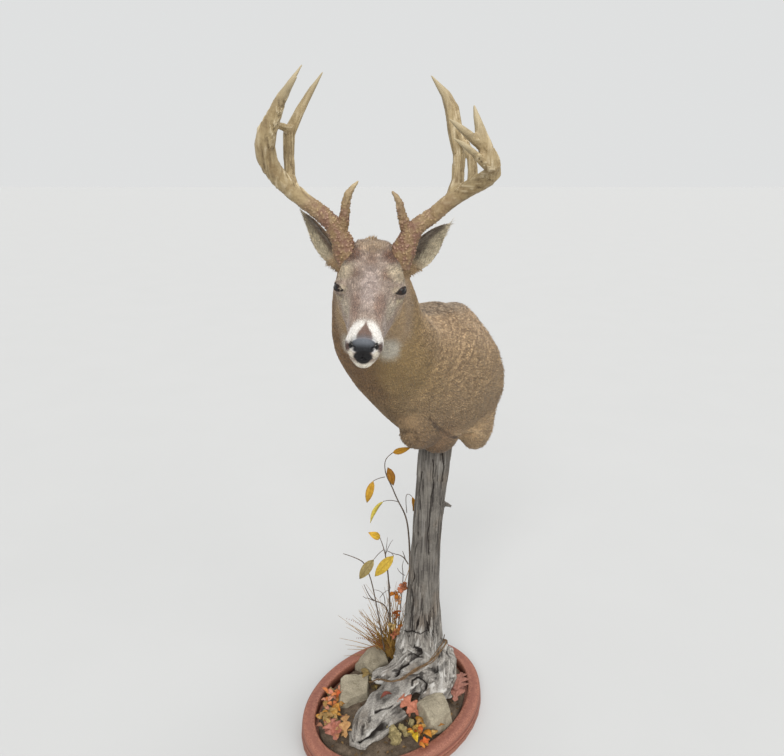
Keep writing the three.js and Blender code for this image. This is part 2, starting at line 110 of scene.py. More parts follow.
def noise(points: np.ndarray, size: float, seed: int = 0) -> np.ndarray:
    """Smooth random value from -1 to 1 at each point.

    Args:
        points: Rows of x, y, z in metres.
        size: Distance over which the value changes, in metres.
        seed: Picks one field of many.

    Returns:
        One value for each row.
    """
    scaled = points / size
    cell = np.floor(scaled).astype(np.int64)
    part = scaled - cell
    part = part * part * (3 - 2 * part)
    total = np.zeros(len(points))
    for corner in np.ndindex(2, 2, 2):
        mixed = grid_key(cell + corner, seed)
        mixed = ((mixed ^ (mixed >> 13)) * 1274126177) & 0x7FFFFFFF
        value = ((mixed ^ (mixed >> 16)) & 0xFFFF) / 32767.5 - 1
        total += value * np.prod(np.where(np.array(corner) > 0, part, 1 - part), axis=1)
    return total


def cells(points: np.ndarray, size: float, seed: int = 0) -> np.ndarray:
    """Distance of each point from the nearest of many scattered seeds, as a share of their spacing.

    Args:
        points: Rows of x, y, z in metres.
        size: The seeds' spacing in metres.
        seed: Picks one scatter of many.

    Returns:
        One value for each row, 0 on a seed.
    """
    scaled = points / size
    home = np.floor(scaled).astype(np.int64)
    best = np.full(len(points), 9.0)
    for step in np.ndindex(3, 3, 3):
        at = home + step - 1
        mixed = grid_key(at, seed)
        mixed = ((mixed ^ (mixed >> 13)) * 1274126177) & 0x3FFFFFFF
        jitter = np.stack([mixed & 1023, (mixed >> 10) & 1023, (mixed >> 20) & 1023], axis=1) / 1023
        best = np.minimum(best, np.linalg.norm(at + jitter - scaled, axis=1))
    return best


def vertices_of(mesh: bpy.types.Mesh) -> np.ndarray:
    """The mesh's vertices as rows of x, y, z.

    Args:
        mesh: The mesh.

    Returns:
        One row a vertex.
    """
    rows = np.empty(len(mesh.vertices) * 3)
    mesh.vertices.foreach_get("co", rows)
    return rows.reshape(-1, 3)


def normals_of(mesh: bpy.types.Mesh) -> np.ndarray:
    """The normals at the mesh's vertices as rows of x, y, z.

    Args:
        mesh: The mesh.

    Returns:
        One row a vertex.
    """
    rows = np.empty(len(mesh.vertices) * 3, np.float32)
    mesh.vertex_normals.foreach_get("vector", rows)
    return rows.reshape(-1, 3).astype(float)


def move_vertices(mesh: bpy.types.Mesh, rows: np.ndarray) -> None:
    """Puts the mesh's vertices at new places."""
    mesh.vertices.foreach_set("co", rows.ravel())
    mesh.update()


def raise_surface(mesh: bpy.types.Mesh, lift: np.ndarray) -> None:
    """Moves each vertex out along its normal by its lift in millimetres."""
    move_vertices(mesh, vertices_of(mesh) + normals_of(mesh) * lift[:, None] * MM)


def relax(mesh: bpy.types.Mesh, share: np.ndarray | float, rounds: int) -> None:
    """Smooths a mesh by moving each vertex towards the middle of its neighbours.

    Args:
        mesh: The mesh to smooth.
        share: How far each vertex goes in one round, from 0 to 1.
        rounds: Number of rounds.
    """
    rows = vertices_of(mesh)
    edges = np.empty(len(mesh.edges) * 2, np.int32)
    mesh.edges.foreach_get("vertices", edges)
    one, other = edges.reshape(-1, 2).T
    size = len(rows)
    count = np.maximum(np.bincount(one, minlength=size) + np.bincount(other, minlength=size), 1)
    weight = np.broadcast_to(share, (size,))
    for _ in range(rounds):
        for k in range(3):
            column = rows[:, k]
            near = np.bincount(one, column[other], size) + np.bincount(other, column[one], size)
            rows[:, k] = column + weight * (near / count - column)
    move_vertices(mesh, rows)


def smooth_form(mesh: bpy.types.Mesh, share: np.ndarray | float, rounds: int) -> None:
    """Relaxes a form and gives back most of the fullness that it loses.

    Args:
        mesh: The mesh to change.
        share: How far each vertex moves towards its neighbours' mean, from 0 to 1.
        rounds: How often.
    """
    before = vertices_of(mesh)
    relax(mesh, share, rounds)
    after = vertices_of(mesh)
    move_vertices(mesh, before - after)
    relax(mesh, share, rounds)
    move_vertices(mesh, after + vertices_of(mesh))


def paint(mesh: bpy.types.Mesh, name: str, values: np.ndarray) -> None:
    """Stores a number or a colour at each vertex for the materials to read.

    Args:
        mesh: The mesh.
        name: The attribute's name.
        values: One number a vertex, or rows of red, green and blue.
    """
    if values.ndim == 1:
        layer = mesh.attributes.new(name, "FLOAT", "POINT")
        layer.data.foreach_set("value", values.astype(np.float32))
        return
    layer = mesh.color_attributes.new(name, "FLOAT_COLOR", "POINT")
    rows = np.concatenate([values, np.ones((len(values), 1))], axis=1)
    layer.data.foreach_set("color", rows.astype(np.float32).ravel())


def apply_modifiers(piece: bpy.types.Object) -> None:
    """Replaces the object's mesh with what its modifiers make of it.

    Args:
        piece: The object, whose modifiers are then gone.
    """
    graph = bpy.context.evaluated_depsgraph_get()
    shaped = bpy.data.meshes.new_from_object(piece.evaluated_get(graph), depsgraph=graph)
    old = piece.data
    piece.modifiers.clear()
    piece.data = shaped
    bpy.data.meshes.remove(old)


def new_object(name: str, mesh: bpy.types.Mesh) -> bpy.types.Object:
    """Puts a mesh into the scene as an object at the origin.

    Args:
        name: The object's name.
        mesh: Its mesh.

    Returns:
        The object, linked to the scene.
    """
    piece = bpy.data.objects.new(name, mesh)
    bpy.context.scene.collection.objects.link(piece)
    return piece


def from_bmesh(name: str, shape: bmesh.types.BMesh, smooth: bool = True) -> bpy.types.Object:
    """Turns a bmesh into an object and frees the bmesh.

    Args:
        name: The object's name.
        shape: The finished shape.
        smooth: Whether its faces are shaded smooth.

    Returns:
        The new object.
    """
    mesh = bpy.data.meshes.new(name)
    for face in shape.faces:
        face.smooth = smooth
    shape.to_mesh(mesh)
    shape.free()
    return new_object(name, mesh)


def finish_piece(
    piece: bpy.types.Object,
    material: bpy.types.Material,
    nodes: Sequence[str] = (),
) -> bpy.types.Object:
    """Gives a piece its material and slot, parents it to the body that it rides on, and hides the CAD nodes
    that it replaces.

    Args:
        piece: The finished piece.
        material: Its material.
        nodes: CAD nodes that it replaces.

    Returns:
        The same piece.
    """
    piece.data.materials.clear()
    piece.data.materials.append(material)
    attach(piece, BODY)
    if nodes:
        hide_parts(*nodes)
    LOG.info("%s: %d faces", piece.name, len(piece.data.polygons))
    return piece


def swollen_copies(name: str, nodes: Sequence[str], grow: float) -> bpy.types.Object:
    """Joins copies of CAD nodes, each grown so that neighbours overlap.

    Args:
        name: The new object's name.
        nodes: CAD nodes to copy.
        grow: How far each surface moves outwards, in metres.

    Returns:
        One object with all the copies.
    """
    joined = bmesh.new()
    for node in nodes:
        copy = bmesh.new()
        copy.from_mesh(bpy.data.objects[node].data)
        bmesh.ops.remove_doubles(copy, verts=copy.verts, dist=1e-5)
        copy.normal_update()
        moves = [vert.normal * grow for vert in copy.verts]
        for vert, move in zip(copy.verts, moves, strict=True):
            vert.co += move
        mesh = bpy.data.meshes.new(name)
        copy.to_mesh(mesh)
        copy.free()
        joined.from_mesh(mesh)
        bpy.data.meshes.remove(mesh)
    return from_bmesh(name, joined)


def remesh(piece: bpy.types.Object, voxel: float) -> None:
    """Rebuilds a joined shape as one even skin of small faces.

    Args:
        piece: The shape.
        voxel: Size of the new faces, in metres.
    """
    change = piece.modifiers.new("remesh", "REMESH")
    change.mode = "VOXEL"
    change.voxel_size = voxel
    change.use_smooth_shade = True
    apply_modifiers(piece)


def add_fillets(piece: bpy.types.Object, nodes: Sequence[str], reach: float, voxel: float) -> None:
    """Adds a copy of CAD nodes whose inner corners are filled, by growing and then shrinking it.

    Args:
        piece: The joined shape that the copy goes into, before it is remeshed.
        nodes: CAD nodes to copy.
        reach: Size of the fillets, in metres.
        voxel: Size of the copy's faces, in metres.
    """
    copy = swollen_copies("fillets", nodes, reach)
    remesh(copy, voxel)
    relax(copy.data, 0.5, 6)
    move_vertices(copy.data, vertices_of(copy.data) - normals_of(copy.data) * reach)
    joined = bmesh.new()
    joined.from_mesh(piece.data)
    joined.from_mesh(copy.data)
    joined.to_mesh(piece.data)
    joined.free()
    bpy.data.objects.remove(copy)


# ---------------------------------------------------------------- the animal's own directions


@dataclass(frozen=True)
class HeadPlace:
    """The head's own frame: x to its left, y from nose to poll, z up, in millimetres."""

    at: Triple = (-51, -280, 1337)
    yaw: float = -1
    pitch: float = 8
    roll: float = 3

    def axes(self) -> np.ndarray:
        """The frame's directions as columns."""
        turn = Euler([math.radians(a) for a in (self.pitch, self.roll, self.yaw)], "XYZ")
        return np.array(turn.to_matrix())

    def inside(self, points: np.ndarray) -> np.ndarray:
        """World points in metres as head points in millimetres."""
        return (points / MM - np.array(self.at)) @ self.axes()

    def world(self, points: Sequence | np.ndarray) -> np.ndarray:
        """Head points in millimetres as world points in metres."""
        return (np.asarray(points, float) @ self.axes().T + np.array(self.at)) * MM

    def turn(self, rows: Sequence | np.ndarray) -> np.ndarray:
        """Directions of the head's frame as world directions."""
        return np.asarray(rows, float) @ self.axes().T


HEAD = HeadPlace()


@dataclass(frozen=True)
class Spine:
    """The middle line of neck and trunk, from behind the jaw to the cut."""

    knots: tuple[Triple, ...] = (
        (-48, -207, 1352), (-44, -169, 1290), (-33, -115, 1211), (0, -47, 1140),
        (60, 23, 1072), (110, 92, 1026), (163, 184, 1012),
    )
    steps: int = 48
    batch: int = 20000

    def line(self) -> np.ndarray:
        """Evenly stepped points along the middle line, in metres.

        Returns:
            One row a step.
        """
        knots = np.array(self.knots) * MM
        reach = np.concatenate([[0], np.cumsum(np.linalg.norm(np.diff(knots, axis=0), axis=1))])
        at = np.linspace(0, reach[-1], self.steps)
        rows = np.stack([np.interp(at, reach, knots[:, k]) for k in range(3)], axis=1)
        for _ in range(6):
            rows[1:-1] = (rows[:-2] + rows[1:-1] * 2 + rows[2:]) / 4
        return rows

    def locate(self, points: np.ndarray) -> tuple[np.ndarray, np.ndarray, np.ndarray]:
        """Finds where points stand along and around the body.

        Args:
            points: Rows in metres.

        Returns:
            The share of the way along, the angle round the middle line, and the tail-ward direction.
        """
        line = self.line()
        along = unit(np.gradient(line, axis=0))
        nearest = np.empty(len(points), np.int64)
        for start in range(0, len(points), self.batch):
            part = points[start : start + self.batch]
            square = ((part[:, None] - line[None]) ** 2).sum(axis=2)
            nearest[start : start + self.batch] = np.argmin(square, axis=1)
        tail = along[nearest]
        offset = points - line[nearest]
        slide = (offset * tail).sum(axis=1)
        share = (nearest + slide / np.linalg.norm(line[1] - line[0])) / (self.steps - 1)
        left = unit(np.cross(np.array([0, 0, 1.0]), -tail))
        back = np.cross(left, tail)
        angle = np.arctan2((offset * left).sum(axis=1), (offset * back).sum(axis=1))
        return np.clip(share, -0.2, 1.2), angle, tail


SPINE = Spine()


FROM_FRONT = np.array([1, 0.4, 1])  # a path seen from the front need not lie exactly on the surface


def near_path(points: np.ndarray, path: Sequence) -> np.ndarray:
    """Distance of each point from a run of straight stretches.

    Args:
        points: Rows of x, y, z.
        path: The run's corners, in the same unit.

    Returns:
        One distance for each row.
    """
    corners = np.asarray(path, float)
    best = np.full(len(points), np.inf)
    for start, end in zip(corners[:-1], corners[1:], strict=True):
        step = end - start
        share = np.clip(((points - start) @ step) / (step @ step), 0, 1)
        best = np.minimum(best, np.linalg.norm(points - start - share[:, None] * step, axis=1))
    return best


def mirrored(points: np.ndarray) -> np.ndarray:
    """Head points folded onto the left half.

    Args:
        points: Rows in the head's frame.

    Returns:
        The rows with x above 0.
    """
    folded = points.copy()
    folded[:, 0] = np.abs(folded[:, 0])
    return folded


@dataclass(frozen=True)
class Spot:
    """An oval of colour in the head's frame, in millimetres, soft at its edge."""

    at: Triple
    half: Triple
    colour: str
    amount: float = 1.0
    soft: float = 0.5
    both: bool = True

    def mask(self, head: np.ndarray) -> np.ndarray:
        """How much of the colour each head point takes.

        Args:
            head: Head points in millimetres.

        Returns:
            One share for each point, from 0 to the amount.
        """
        folded = mirrored(head) if self.both else head
        far = np.linalg.norm((folded - self.at) / self.half, axis=1)
        return self.amount * (1 - ramp(1 - self.soft, 1 + self.soft, far))


@dataclass(frozen=True)
class Muzzle:
    """The white bands over the nose, the brown wedge between them and the brown wings beside the pad."""

    start: float = -159
    white: str = "fbf7f0"
    wedge: str = "826a5f"
    wing: str = "5f4a43"

    def paint_over(self, tint: np.ndarray, head: np.ndarray, over: Callable) -> None:
        """Lays the pattern over the tint.

        Args:
            tint: Rows of colour to change.
            head: Head points in millimetres.
            over: Lays a colour over the rows by an amount for each.
        """
        wide = np.abs(head[:, 0] - 1)
        down = self.start - head[:, 1]
        flare = np.clip(down, 0, 36)
        inner = 0.1 * flare + 0.0078 * flare**2
        outer = 22 + 20 * np.clip(down / 20, 0, 1) ** 0.7
        on_top = ramp(-60, -50, head[:, 2])
        band = ramp(inner - 2.5, inner + 2.5, wide) * ramp(outer + 9, outer - 8, wide)
        over(tint, self.white, band * ramp(-12, 14, down) * on_top)
        over(tint, self.wedge, ramp(inner + 1.5, inner - 2, wide) * ramp(0, 14, down) * on_top)
        low = ramp(-38, -44, head[:, 2]) * ramp(-62, -56, head[:, 2])
        over(tint, self.wing, low * ramp(-178, -190, head[:, 1]) * ramp(23, 27, wide))


@dataclass(frozen=True)
class Markings:
    """The coat's colours, read alike by the skin and by every tuft, with painted shade along the folds and
    painted highlights on a fold's crest and on the lower lobe of the deer's left side.
    """

    back: str = "c2a786"
    flank: str = "ad9370"
    throat_gold: str = "a88d5f"
    throat_brown: str = "8a6b4c"
    brisket: str = "84694d"
    rear: str = "9c8464"
    face: str = "ab998b"
    spine_line: str = "7f766c"
    patches: str = "7a6048"
    # Painted light: paler tan for the lower lobe of the deer's left side, where the light falls on it.
    lit_elbow: str = "bb9f79"
    fold_shadow: str = "3b2a22"
    # Painted highlight along the crest of the fold.
    crest_highlight: str = "cbb08a"
    muzzle: Muzzle = Muzzle()
    folds: tuple[tuple[Triple, ...], ...] = (
        ((14, -70, 931), (22, -84, 934), (36, -94, 943), (51, -98, 938), (55, -102, 924)),
        ((87, -70, 969), (108, -61, 938), (143, -23, 898), (180, 32, 878), (206, 46, 872)),
    )
    crest: tuple[Triple, ...] = ((160, 0, 900), (186, 36, 889), (216, 50, 888), (244, 64, 866))
    spots: tuple[Spot, ...] = (
        Spot((0, -70, 22), (19, 100, 26), "bcaca4", 0.8),
        Spot((24, -108, -2), (11, 46, 20), "947767", 0.7),
        Spot((60, 24, -84), (24, 58, 58), "bba079", 0.85),
        Spot((47, -70, -22), (14, 44, 18), "cbbfaa", 0.75),
        Spot((40, -130, -45), (10, 40, 24), "b3a8a0", 0.6),
        Spot((35, -14, 34), (13, 16, 12), "7d6150", 0.75),
        Spot((57, 8, 29), (26, 26, 18), "d3c4a8", 0.8),
        Spot((66, 34, 20), (18, 26, 20), "c6b496", 0.75),
        Spot((0, 12, 60), (12, 18, 16), "8a6c58", 0.6),
        Spot((42, 28, 62), (20, 20, 16), "7a5540", 0.85),
        Spot((0, 40, 78), (28, 20, 18), "bfa688", 0.8),
        Spot((40, 66, 72), (22, 14, 16), "82614a", 0.7),
        Spot((0, 74, 87), (15, 15, 12), "94743f", 0.9, 0.5, False),
        Spot((58, -10, -19), (18, 24, 8), "d6c8aa", 0.9),
        Spot((52, -30, 4), (11, 12, 8), "d0c2a6", 0.6),
        Spot((34, -150, -76), (14, 40, 14), "ddd5c8", 0.8),
        Spot((0, -20, -128), (40, 110, 26), "ddd2bc", 0.8),
        Spot((46, 50, -160), (24, 32, 28), "dcd8cb", 0.8),
    )
    lips: tuple[Spot, ...] = (
        Spot((0, -192, -88), (34, 44, 15), "f6efdf", 1.0, 0.4),
        Spot((23, -203, -62), (8, 10, 8), "f3ead8", 1.0, 0.4),
        Spot((1, -211, -41), (28, 14, 14), "1d1e21", 1.0, 0.12),
        # Painted highlight: pale grey sheen over the top of the black nose pad.
        Spot((1, -206, -32), (25, 11, 9), "666a6f", 0.8, 0.7),
        Spot((1, -212, -64), (17, 13, 14.5), "0d0b0c", 1.0, 0.15),
        # Near-black nostril openings: the nose's dark skin, deepened by painted shade in the hollows.
        Spot((25, -204, -43), (5, 8, 7.5), "0f0c0c", 1.0, 0.2),
    )

    def colour_at(self, points: np.ndarray, normals: np.ndarray) -> np.ndarray:
        """The coat's colour at each point.

        Args:
            points: Rows in metres.
            normals: The skin's outward directions there.

        Returns:
            Rows of red, green and blue.
        """
        head = HEAD.inside(points)
        share, angle, _ = SPINE.locate(points)
        high = np.cos(angle)
        tint = np.tile(np.array(rgb(self.flank)[:3]), (len(points), 1))
        self._over(tint, self.back, 0.9 * ramp(0.3, 1.0, high))
        front = ramp(0.3, -0.5, high) * ramp(0.72, 0.45, share)
        self._over(tint, self.throat_gold, 0.9 * front)
        right = ramp(0.02, -0.06, points[:, 0] - 0.25 * (1.08 - points[:, 2]) + 0.03 * noise(points, 0.05, 4))
        self._over(tint, self.throat_brown, 0.85 * front * right)
        low = ramp(1.0, 0.88, points[:, 2] + 0.04 * noise(points, 0.07, 3))
        self._over(tint, self.rear, 0.6 * ramp(1.12, 0.96, points[:, 2]))
        self._over(tint, self.brisket, 0.85 * low)
        spine = ramp(0.96, 0.998, high) * ramp(0.3, 0.5, share)
        self._over(tint, self.spine_line, 0.55 * spine)
        patchy = 0.5 + 0.5 * noise(points, 0.028, 5)
        self._over(tint, self.patches, 0.08 * np.clip(patchy, 0, 1))
        # Painted light: the lower lobe on the deer's left is made paler where the light falls on it.
        left_low = ramp(0.13, 0.18, points[:, 0]) * ramp(0.96, 0.9, points[:, 2])
        self._over(tint, self.lit_elbow, 0.8 * left_low)
        flat = points / MM * FROM_FRONT
        for path in self.folds:
            far = near_path(flat, path * FROM_FRONT) / 5
            self._over(tint, self.fold_shadow, 0.8 * np.exp(-(far**2)))
        # Painted highlight: a pale line along the raised crest of the fold, where it catches the light.
        far = near_path(flat, self.crest * FROM_FRONT) / 4.5
        self._over(tint, self.crest_highlight, 0.7 * np.exp(-(far**2)))
        on_face = ramp(95, 30, head[:, 1]) * ramp(-175, -110, head[:, 2])
        self._over(tint, self.face, on_face)
        wobble = head + 4 * np.stack([noise(points, 0.014, k) for k in (11, 12, 13)], axis=1)
        for spot in self.spots:
            self._over(tint, spot.colour, spot.mask(wobble))
        self.muzzle.paint_over(tint, wobble * 0.3 + head * 0.7, self._over)
        for spot in self.lips:
            self._over(tint, spot.colour, spot.mask(head))
        for ear in EARS:
            ear.paint_over(tint, points, normals, self._over)
        return tint

    def grizzle_at(self, points: np.ndarray) -> np.ndarray:
        """How strongly the wavy bands show: on face and shoulders, less on throat, brisket and white hair.

        Args:
            points: Rows in metres.

        Returns:
            One share for each point, from 0 to 1.
        """
        head = HEAD.inside(points)
        body = 0.62 + 0.38 * ramp(0.02, 0.12, points[:, 0]) * ramp(0.95, 1.06, points[:, 2])
        nose = ramp(-140, -170, head[:, 1]) * ramp(40, 0, head[:, 1])
        return (body + (1 - body) * ramp(60, 20, head[:, 1])) * (1 - 0.85 * nose)

    @staticmethod
    def _over(tint: np.ndarray, colour: str, amount: np.ndarray) -> None:
        """Lays a colour over the rows of tint."""
        tint += np.clip(amount, 0, 1)[:, None] * (np.array(rgb(colour)[:3]) - tint)


@dataclass(frozen=True)
class Ear:
    """One ear's root, tip and the way its cup opens."""

    side: str
    root: Triple
    tip: Triple
    open: Triple
    deep: float = 0.6
    # Painted shade deep in the cup, near its root.
    hollow: str = "544438"
    back: str = "86705a"
    lining: str = "d9cdb0"
    # Darker upper part of the cup: grey, thinly haired skin, deepened by painted shade.
    upper: str = "62544a"
    rim: str = "4a3a2c"

    def place(self, points: np.ndarray) -> tuple[np.ndarray, np.ndarray, np.ndarray]:
        """Share of the way to the tip, distance from the axis in mm, and height towards the opening.

        Args:
            points: Rows in metres.

        Returns:
            The three values, one of each for each row.
        """
        root = HEAD.world(self.root)
        axis = np.array(self.tip) * MM - root
        share = ((points - root) @ axis) / (axis @ axis)
        offset = points - root - share[:, None] * axis
        face = unit(np.array(self.open, float))
        return share, np.linalg.norm(offset, axis=1) / MM, (offset @ face) / MM

    def height(self, points: np.ndarray) -> np.ndarray:
        """Distance from the ear's axis towards its upper edge, in mm.

        Args:
            points: Rows in metres.

        Returns:
            One height for each row.
        """
        root = HEAD.world(self.root)
        axis = unit(np.array(self.tip) * MM - root)
        rise = unit(np.array([0, 0, 1.0]) - axis[2] * axis)
        return ((points - root) @ rise) / MM

    def mask(self, points: np.ndarray) -> np.ndarray:
        """1 on the free part of the ear, 0 off it."""
        share, far, _ = self.place(points)
        return ramp(0.16, 0.3, share) * ramp(62, 46, far) * (share < 1.2)

    def inner(self, points: np.ndarray, normals: np.ndarray) -> np.ndarray:
        """1 on the face inside the cup."""
        return self.mask(points) * ramp(0.0, 0.3, normals @ unit(np.array(self.open, float)))

    def paint_over(self, tint: np.ndarray, points: np.ndarray, normals: np.ndarray, over: Callable) -> None:
        """Lays the ear's grey-brown back, pale cup and dark rim over the tint, with painted shade over the
        cup's upper part and deep in the cup.

        Args:
            tint: Rows of colour to change.
            points: Rows in metres.
            normals: Outward directions at the points.
            over: Lays a colour over the rows by an amount for each.
        """
        share, far, _ = self.place(points)
        on_ear = self.mask(points)
        cup = self.inner(points, normals)
        over(tint, self.back, on_ear)
        over(tint, self.lining, 0.9 * cup)
        # The cup's upper part is darker: its grey skin, deepened by painted shade.
        upper = ramp(-4, 14, self.height(points))
        over(tint, self.upper, 0.85 * cup * upper * ramp(1.05, 0.8, share))
        # Painted shade deep in the cup, close to its middle line and towards the root.
        over(tint, self.hollow, 0.85 * cup * ramp(17, 6, far) * ramp(self.deep, 0.3, share))
        over(tint, self.rim, 0.8 * on_ear * ramp(0.84, 1.0, share + 0.003 * (far - 20)))


EARS = (
    # The right ear's painted shade in the cup reaches further towards the tip, in a warmer brown.
    Ear("right", (-62, 86, 14), (-207, -170, 1492), (-0.75, -0.7, -0.3), 1.0, "6b5043"),
    Ear("left", (62, 86, 14), (130, -157, 1466), (0.45, -0.9, -0.2)),
)
MARKINGS = Markings()


def ear_mask(points: np.ndarray) -> np.ndarray:
    """1 on the free part of either ear, 0 off it."""
    return np.max([ear.mask(points) for ear in EARS], axis=0)


@dataclass(frozen=True)
class Push:
    """A soft lift or hollow of the skin in the head's frame, in millimetres."""

    at: Triple
    half: Triple
    lift: float

    def amount(self, head: np.ndarray) -> np.ndarray:
        """How far each head point moves out along its normal."""
        far = (((mirrored(head) - self.at) / self.half) ** 2).sum(axis=1)
        return self.lift * np.clip(1 - far, 0, 1) ** 2


@dataclass(frozen=True)
class Crease:
    """A groove along a path, in millimetres: in the head's frame, or the world's where told."""

    path: tuple[Triple, ...]
    width: float
    depth: float
    on_head: bool = True

    def amount(self, head: np.ndarray, points: np.ndarray) -> np.ndarray:
        """How far each point moves out along its normal.

        Args:
            head: Head points in millimetres.
            points: The same points in metres in the world.

        Returns:
            One lift for each point, below 0 in the groove.
        """
        if self.on_head:
            far = near_path(mirrored(head), self.path) / self.width
        else:
            far = near_path(points / MM * FROM_FRONT, self.path * FROM_FRONT) / self.width
        return -self.depth * np.exp(-far * far)


@dataclass(frozen=True)
class Socket:
    """An eye's place in the head, and the almond its lids leave open."""

    sign: int
    radius: float = 16.5
    middle: Triple = (57, -8, 1)
    axis: Triple = (0.76, -0.63, 0.13)
    tilt: float = 6
    half_width: float = 56
    upper: float = 25
    lower: float = 14

    def centre(self) -> np.ndarray:
        """The middle of the ball in the head's frame."""
        return np.array(self.middle) * np.array([self.sign, 1, 1])

    def frame(self) -> np.ndarray:
        """Rows: out of the eye, towards the outer corner, and up, in the head's frame.

        Returns:
            Three rows of length one.
        """
        out = unit(np.array(self.axis, float))
        side = unit(np.cross(np.array([0, 0, 1.0]), out))
        up = np.cross(out, side)
        a = math.radians(self.tilt)
        side, up = side * math.cos(a) + up * math.sin(a), up * math.cos(a) - side * math.sin(a)
        return np.array([out, side, up])

    def angles(self, head: np.ndarray) -> tuple[np.ndarray, np.ndarray, np.ndarray]:
        """Degrees towards the outer corner, degrees up, and distance from the eye's middle.

        Args:
            head: Head points in millimetres.

        Returns:
            The two angles and the distance, one of each for each point.
        """
        folded = head * np.array([self.sign, 1, 1])
        ray = (folded - np.array(self.middle)) @ self.frame().T
        far = np.linalg.norm(ray, axis=1)
        flat = np.hypot(ray[:, 0], ray[:, 1])
        return np.degrees(np.arctan2(ray[:, 1], ray[:, 0])), np.degrees(np.arctan2(ray[:, 2], flat)), far

    def past_lid(self, head: np.ndarray) -> np.ndarray:
        """Millimetres from the lids' edge along the ball: below 0 in the opening, above 0 on the lids.

        Args:
            head: Head points in millimetres.

        Returns:
            One distance for each point.
        """
        side, up, _ = self.angles(head)
        open_here = np.clip(1 - (np.abs(side) / self.half_width) ** 2.2, 0, 1)
        limit = np.where(up > 0, self.upper, self.lower) * open_here
        beyond = np.maximum(np.abs(side) - self.half_width, 0)
        away = np.hypot(np.maximum(np.abs(up) - limit, 0), beyond)
        inside = np.minimum(np.abs(up) - limit, 0)
        return np.radians(away + inside) * self.radius


# ---------------------------------------------------------------- materials


class Nodes:
    """A material or a node group being wired, with short calls for the nodes it needs."""

    def __init__(self, tree: bpy.types.NodeTree) -> None:
        """Starts on a node tree."""
        self.tree = tree

    def add(self, kind: str, **settings: object) -> bpy.types.Node:
        """Adds a node and sets its properties.

        Args:
            kind: The node's type.
            **settings: Its properties and their values.

        Returns:
            The node.
        """
        node = self.tree.nodes.new(kind)
        for name, value in settings.items():
            setattr(node, name, value)
        return node

    def feed(self, socket: bpy.types.NodeSocket, source: object) -> None:
        """Links a socket to another's output, or sets its value.

        Args:
            socket: The input.
            source: An output, or a value.
        """
        if isinstance(source, bpy.types.NodeSocket):
            self.tree.links.new(source, socket)
        else:
            socket.default_value = source

    def attribute(self, name: str, output: str = "Color") -> bpy.types.NodeSocket:
        """What the mesh stores under a name."""
        return self.add("ShaderNodeAttribute", attribute_name=name).outputs[output]

    def place(self, scale: Triple = (1, 1, 1), turn: Triple = (0, 0, 0)) -> bpy.types.NodeSocket:
        """The object's own coordinates in metres, turned by degrees and then stretched by a scale.

        Args:
            scale: Stretch along each axis.
            turn: Degrees about each axis.

        Returns:
            The coordinates' socket.
        """
        place = self.add("ShaderNodeTexCoord").outputs["Object"]
        angles = [math.radians(angle) for angle in turn]
        for name, value in (("Rotation", angles), ("Scale", scale)):
            mapping = self.add("ShaderNodeMapping")
            mapping.inputs[name].default_value = value
            self.feed(mapping.inputs["Vector"], place)
            place = mapping.outputs["Vector"]
        return place

    def noise(
        self, size: float, place: object = None, detail: float = 3.0, rough: float = 0.55, bend: float = 0.0
    ) -> bpy.types.NodeSocket:
        """Cloudy values from 0 to 1.

        Args:
            size: Size of the clouds in metres.
            place: Coordinates, or None for the object's own.
            detail: Octaves of finer clouds.
            rough: Strength of the finer clouds.
            bend: How much the clouds are pulled about.

        Returns:
            The value's socket.
        """
        node = self.add("ShaderNodeTexNoise")
        self.feed(node.inputs["Vector"], place or self.place())
        node.inputs["Scale"].default_value = 1 / size
        node.inputs["Detail"].default_value = detail
        node.inputs["Roughness"].default_value = rough
        node.inputs["Distortion"].default_value = bend
        return node.outputs["Fac"]

    def levels(self, value: object, low: float, high: float, to: tuple[float, float] = (0, 1)) -> object:
        """A value stretched from one range to another and clamped.

        Args:
            value: The value.
            low: Where the first range starts.
            high: Where it ends.
            to: The second range.

        Returns:
            The value's socket.
        """
        node = self.add("ShaderNodeMapRange")
        self.feed(node.inputs["Value"], value)
        node.inputs["From Min"].default_value = low
        node.inputs["From Max"].default_value = high
        node.inputs["To Min"].default_value = to[0]
        node.inputs["To Max"].default_value = to[1]
        return node.outputs["Result"]

    def mix(self, amount: object, one: object, other: object, kind: str = "MIX") -> bpy.types.NodeSocket:
        """Two colours mixed.

        Args:
            amount: Share of the second colour.
            one: The first colour.
            other: The second colour.
            kind: How they are blended.

        Returns:
            The colour's socket.
        """
        node = self.add("ShaderNodeMix", data_type="RGBA", blend_type=kind, clamp_factor=True)
        self.feed(node.inputs["Factor"], amount)
        self.feed(node.inputs[6], one)
        self.feed(node.inputs[7], other)
        return node.outputs[2]

    def tinted(self, colour: object, tint: object) -> bpy.types.NodeSocket:
        """A colour multiplied by another."""
        return self.mix(1.0, colour, tint, "MULTIPLY")

    def math(self, kind: str, one: object, other: object = 0.0) -> bpy.types.NodeSocket:
        """One number made from two.

        Args:
            kind: The operation.
            one: The first number.
            other: The second number.

        Returns:
            The number's socket.
        """
        node = self.add("ShaderNodeMath", operation=kind)
        self.feed(node.inputs[0], one)
        self.feed(node.inputs[1], other)
        return node.outputs[0]

    def bump(self, height: object, depth: float) -> bpy.types.NodeSocket:
        """A normal from heights: depth is how high 1 stands, in metres.

        Args:
            height: Heights from 0 to 1.
            depth: How high 1 stands, in metres.

        Returns:
            The normal's socket.
        """
        node = self.add("ShaderNodeBump")
        node.inputs["Distance"].default_value = depth
        self.feed(node.inputs["Height"], height)
        return node.outputs["Normal"]


